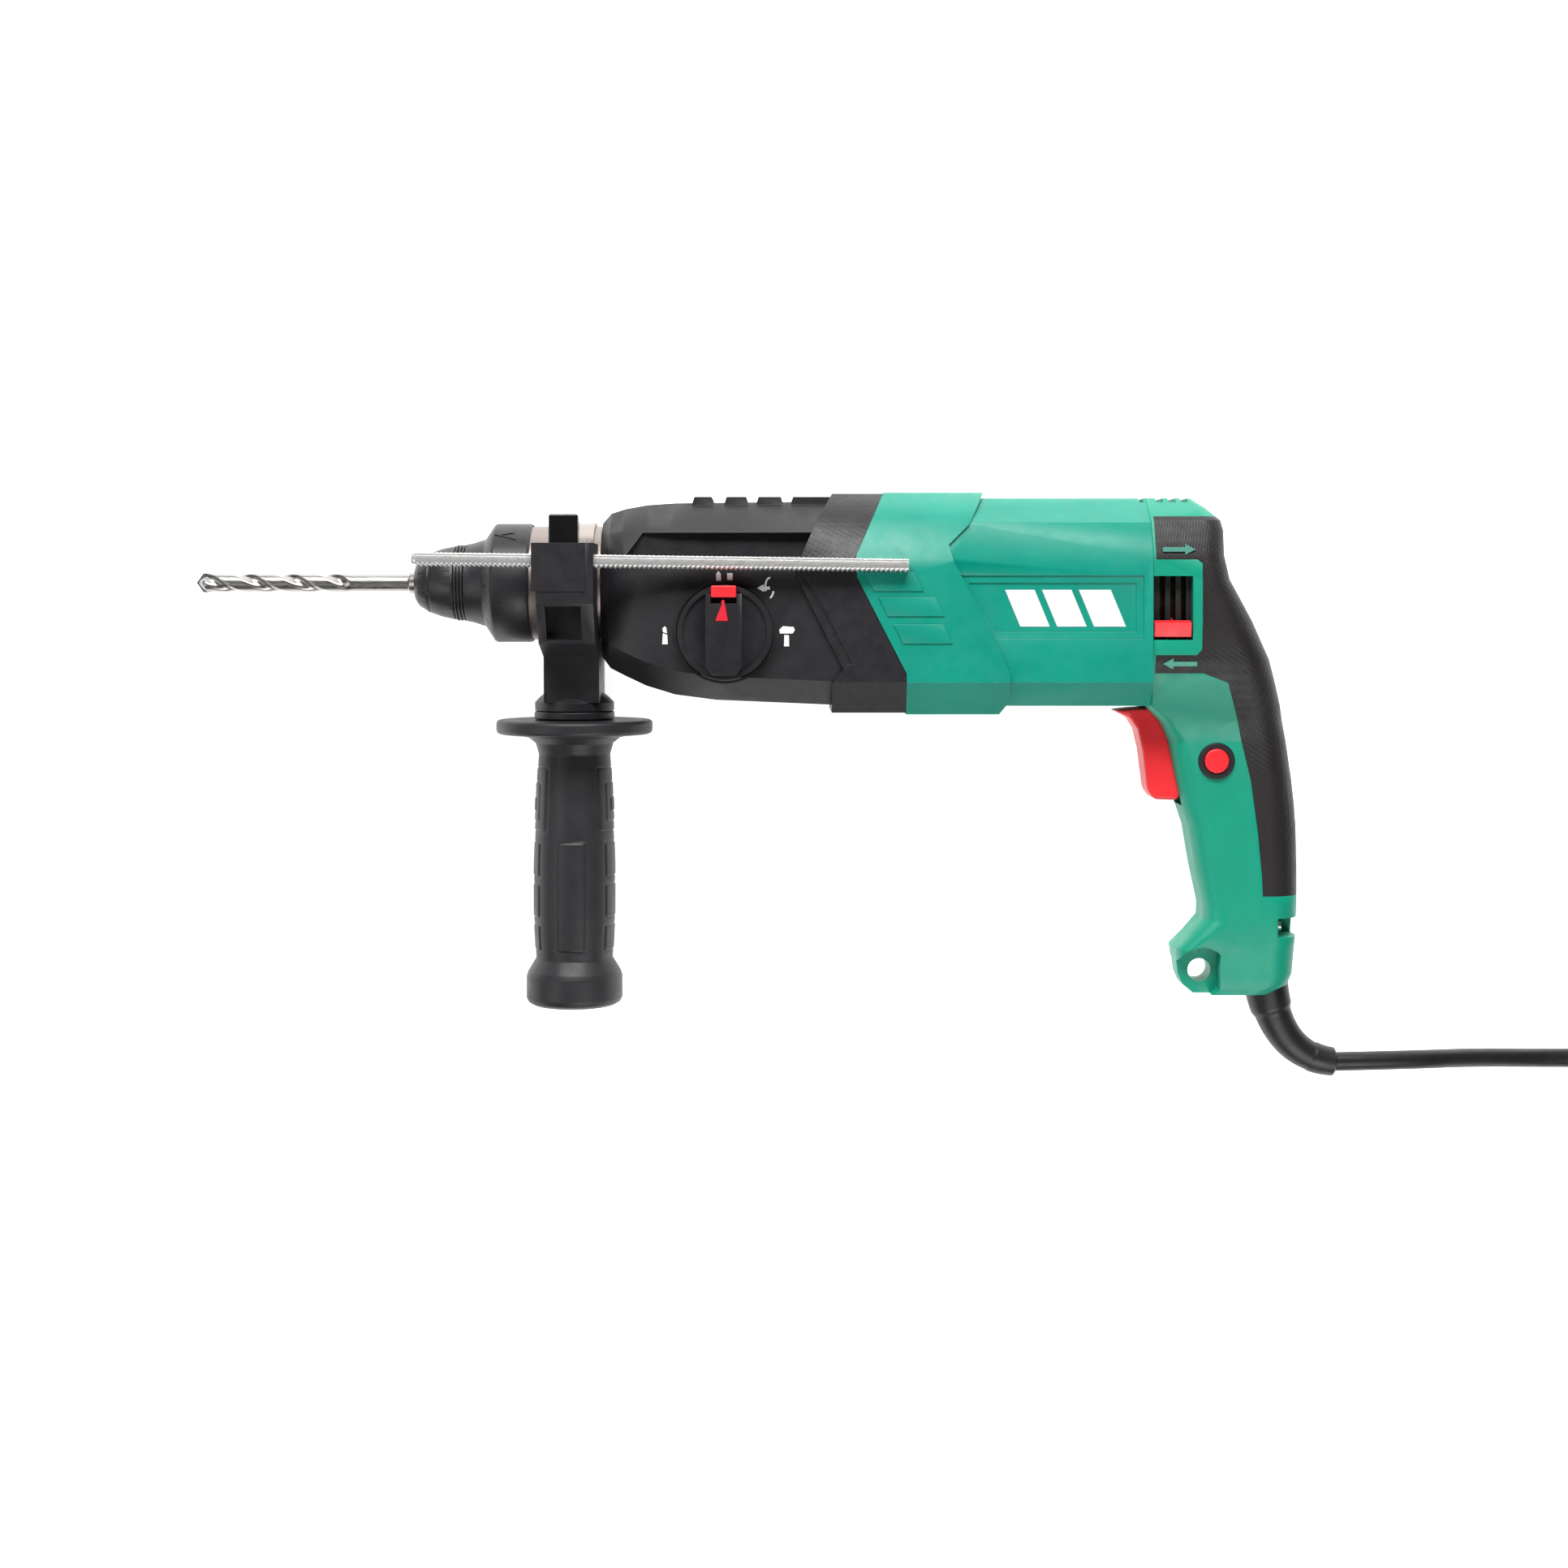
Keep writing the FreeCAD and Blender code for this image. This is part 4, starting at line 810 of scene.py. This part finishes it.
class HAMMER_OT_markings(bpy.types.Operator):
    """Printed and moulded marks of the left side"""
    bl_idname = "hammer.markings"
    bl_label = "Markings"

    def execute(self, context):
        self.put("mode_signs", self.mode_signs(), height_on("gear_housing"), "gear_housing", "white_print")
        low, high, lean = -18.2, -3.2, 6.2
        bars = [[(x, low), (x + width, low), (x + width - lean, high), (x - lean, high)]
                for x, width in ((251.0, 12.0), (266.0, 12.0), (281.0, 13.0))]
        self.put("name_field", bars, height_on("motor_housing"), "motor_housing", "white_print")
        arrows = [arrow(308.9, 13.2, 13.2, 4.4), arrow(323.0, -33.4, 13.8, 4.4, -1)]
        rear = "rubber_overmould"
        self.put("turn_arrows", arrows, height_on(rear), rear, "green_print", 0.3)
        x, y = KNOB_AT
        seat = slit_ring(x, y, 20.9, 19.9)
        self.put("knob_seat", [seat], lambda a, b: 35.5, "gear_housing", "black_plastic", 0.3)
        pointer = [(x - 3.6, y + 4.6), (x + 1.5, y + 4.6), (x - 0.1, y + 13.0), (x - 0.9, y + 13.0)]
        self.put("knob_pointer", [pointer], lambda a, b: 45.9, "mode_knob", "red_print", 0.35)
        return {"FINISHED"}

    def put(self, name, outlines, base, node, finish, thickness=0.2):
        """Marks on a node, each standing on the highest place under its outline."""
        for k, outline in enumerate(outlines):
            top = max(base(x, y) for x, y in outline)
            piece = mark(f"{name}_{k}", outline, top, thickness)
            settle(piece, node, FINISH[finish], hides=False)

    def mode_signs(self):
        """Small signs printed round the mode knob, the last of them an open turning ring."""
        signs = [[(127.4, 0.4), (129.4, 0.4), (129.2, 3.4), (128.2, 4.4), (127.2, 3.0)],
                 [(131.8, 0.6), (134.0, 0.6), (134.0, 3.6), (131.8, 3.6)],
                 [(105.3, -25.4), (107.6, -25.4), (107.4, -21.6), (105.6, -20.8)],
                 [(105.6, -20.4), (107.3, -21.0), (107.0, -18.6), (106.3, -18.0), (105.4, -19.0)],
                 [(154.9, -26.2), (157.0, -26.2), (156.9, -21.6), (155.0, -21.6)],
                 [(153.2, -21.0), (158.4, -21.0), (159.3, -19.6), (158.8, -18.3), (154.4, -18.0),
                  (153.0, -19.4)],
                 arrow(149.2, -2.5, 5.4, 3.0, -1)]
        for a0, a1 in ((200, 80), (-20, -85)):
            turn = np.radians(np.linspace(a0, a1, 9))
            x, y = 149.0, -2.4
            outer = [(x + 2.1 * math.cos(a), y + 4.4 * math.sin(a)) for a in turn]
            inner = [(x + 1.3 * math.cos(a), y + 3.7 * math.sin(a)) for a in reversed(turn)]
            signs.append((outer + inner)[::-1])
        return signs


class HAMMER_OT_inner_parts(bpy.types.Operator):
    """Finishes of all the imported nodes, which the working parts inside keep"""
    bl_idname = "hammer.inner_parts"
    bl_label = "Inner parts"

    def execute(self, context):
        for name, node in frame["nodes"].items():
            node.data.materials.clear()
            node.data.materials.append(FINISH[SLOT_OF[name]])
        return {"FINISHED"}


class HAMMER_PT_panel(bpy.types.Panel):
    """Lists the pieces in the sidebar"""
    bl_label = "Rotary Hammer"
    bl_idname = "HAMMER_PT_panel"
    bl_space_type = "VIEW_3D"
    bl_region_type = "UI"
    bl_category = "Rotary Hammer"

    def draw(self, context):
        for group in (context.scene.hammer_sizes, context.scene.hammer_colours):
            for key in group.bl_rna.properties.keys():
                if key not in ("rna_type", "name"):
                    self.layout.prop(group, key)
        for operator in OPERATORS:
            self.layout.operator(operator.bl_idname)


OPERATORS = (HAMMER_OT_stage, HAMMER_OT_inner_parts, HAMMER_OT_cord, HAMMER_OT_housings, HAMMER_OT_controls,
             HAMMER_OT_holder, HAMMER_OT_side_handle, HAMMER_OT_markings)
CLASSES = (HammerSizes, HammerColours) + OPERATORS + (HAMMER_PT_panel,)


def register():
    for cls in CLASSES:
        bpy.utils.register_class(cls)
    bpy.types.Scene.hammer_sizes = PointerProperty(type=HammerSizes)
    bpy.types.Scene.hammer_colours = PointerProperty(type=HammerColours)


def unregister():
    del bpy.types.Scene.hammer_colours
    del bpy.types.Scene.hammer_sizes
    for cls in reversed(CLASSES):
        bpy.utils.unregister_class(cls)


def main():
    register()
    FINISH.update(make_finishes())
    for operator in OPERATORS:
        family, name = operator.bl_idname.split(".")
        getattr(getattr(bpy.ops, family), name)()


if __name__ == "__main__":
    main()
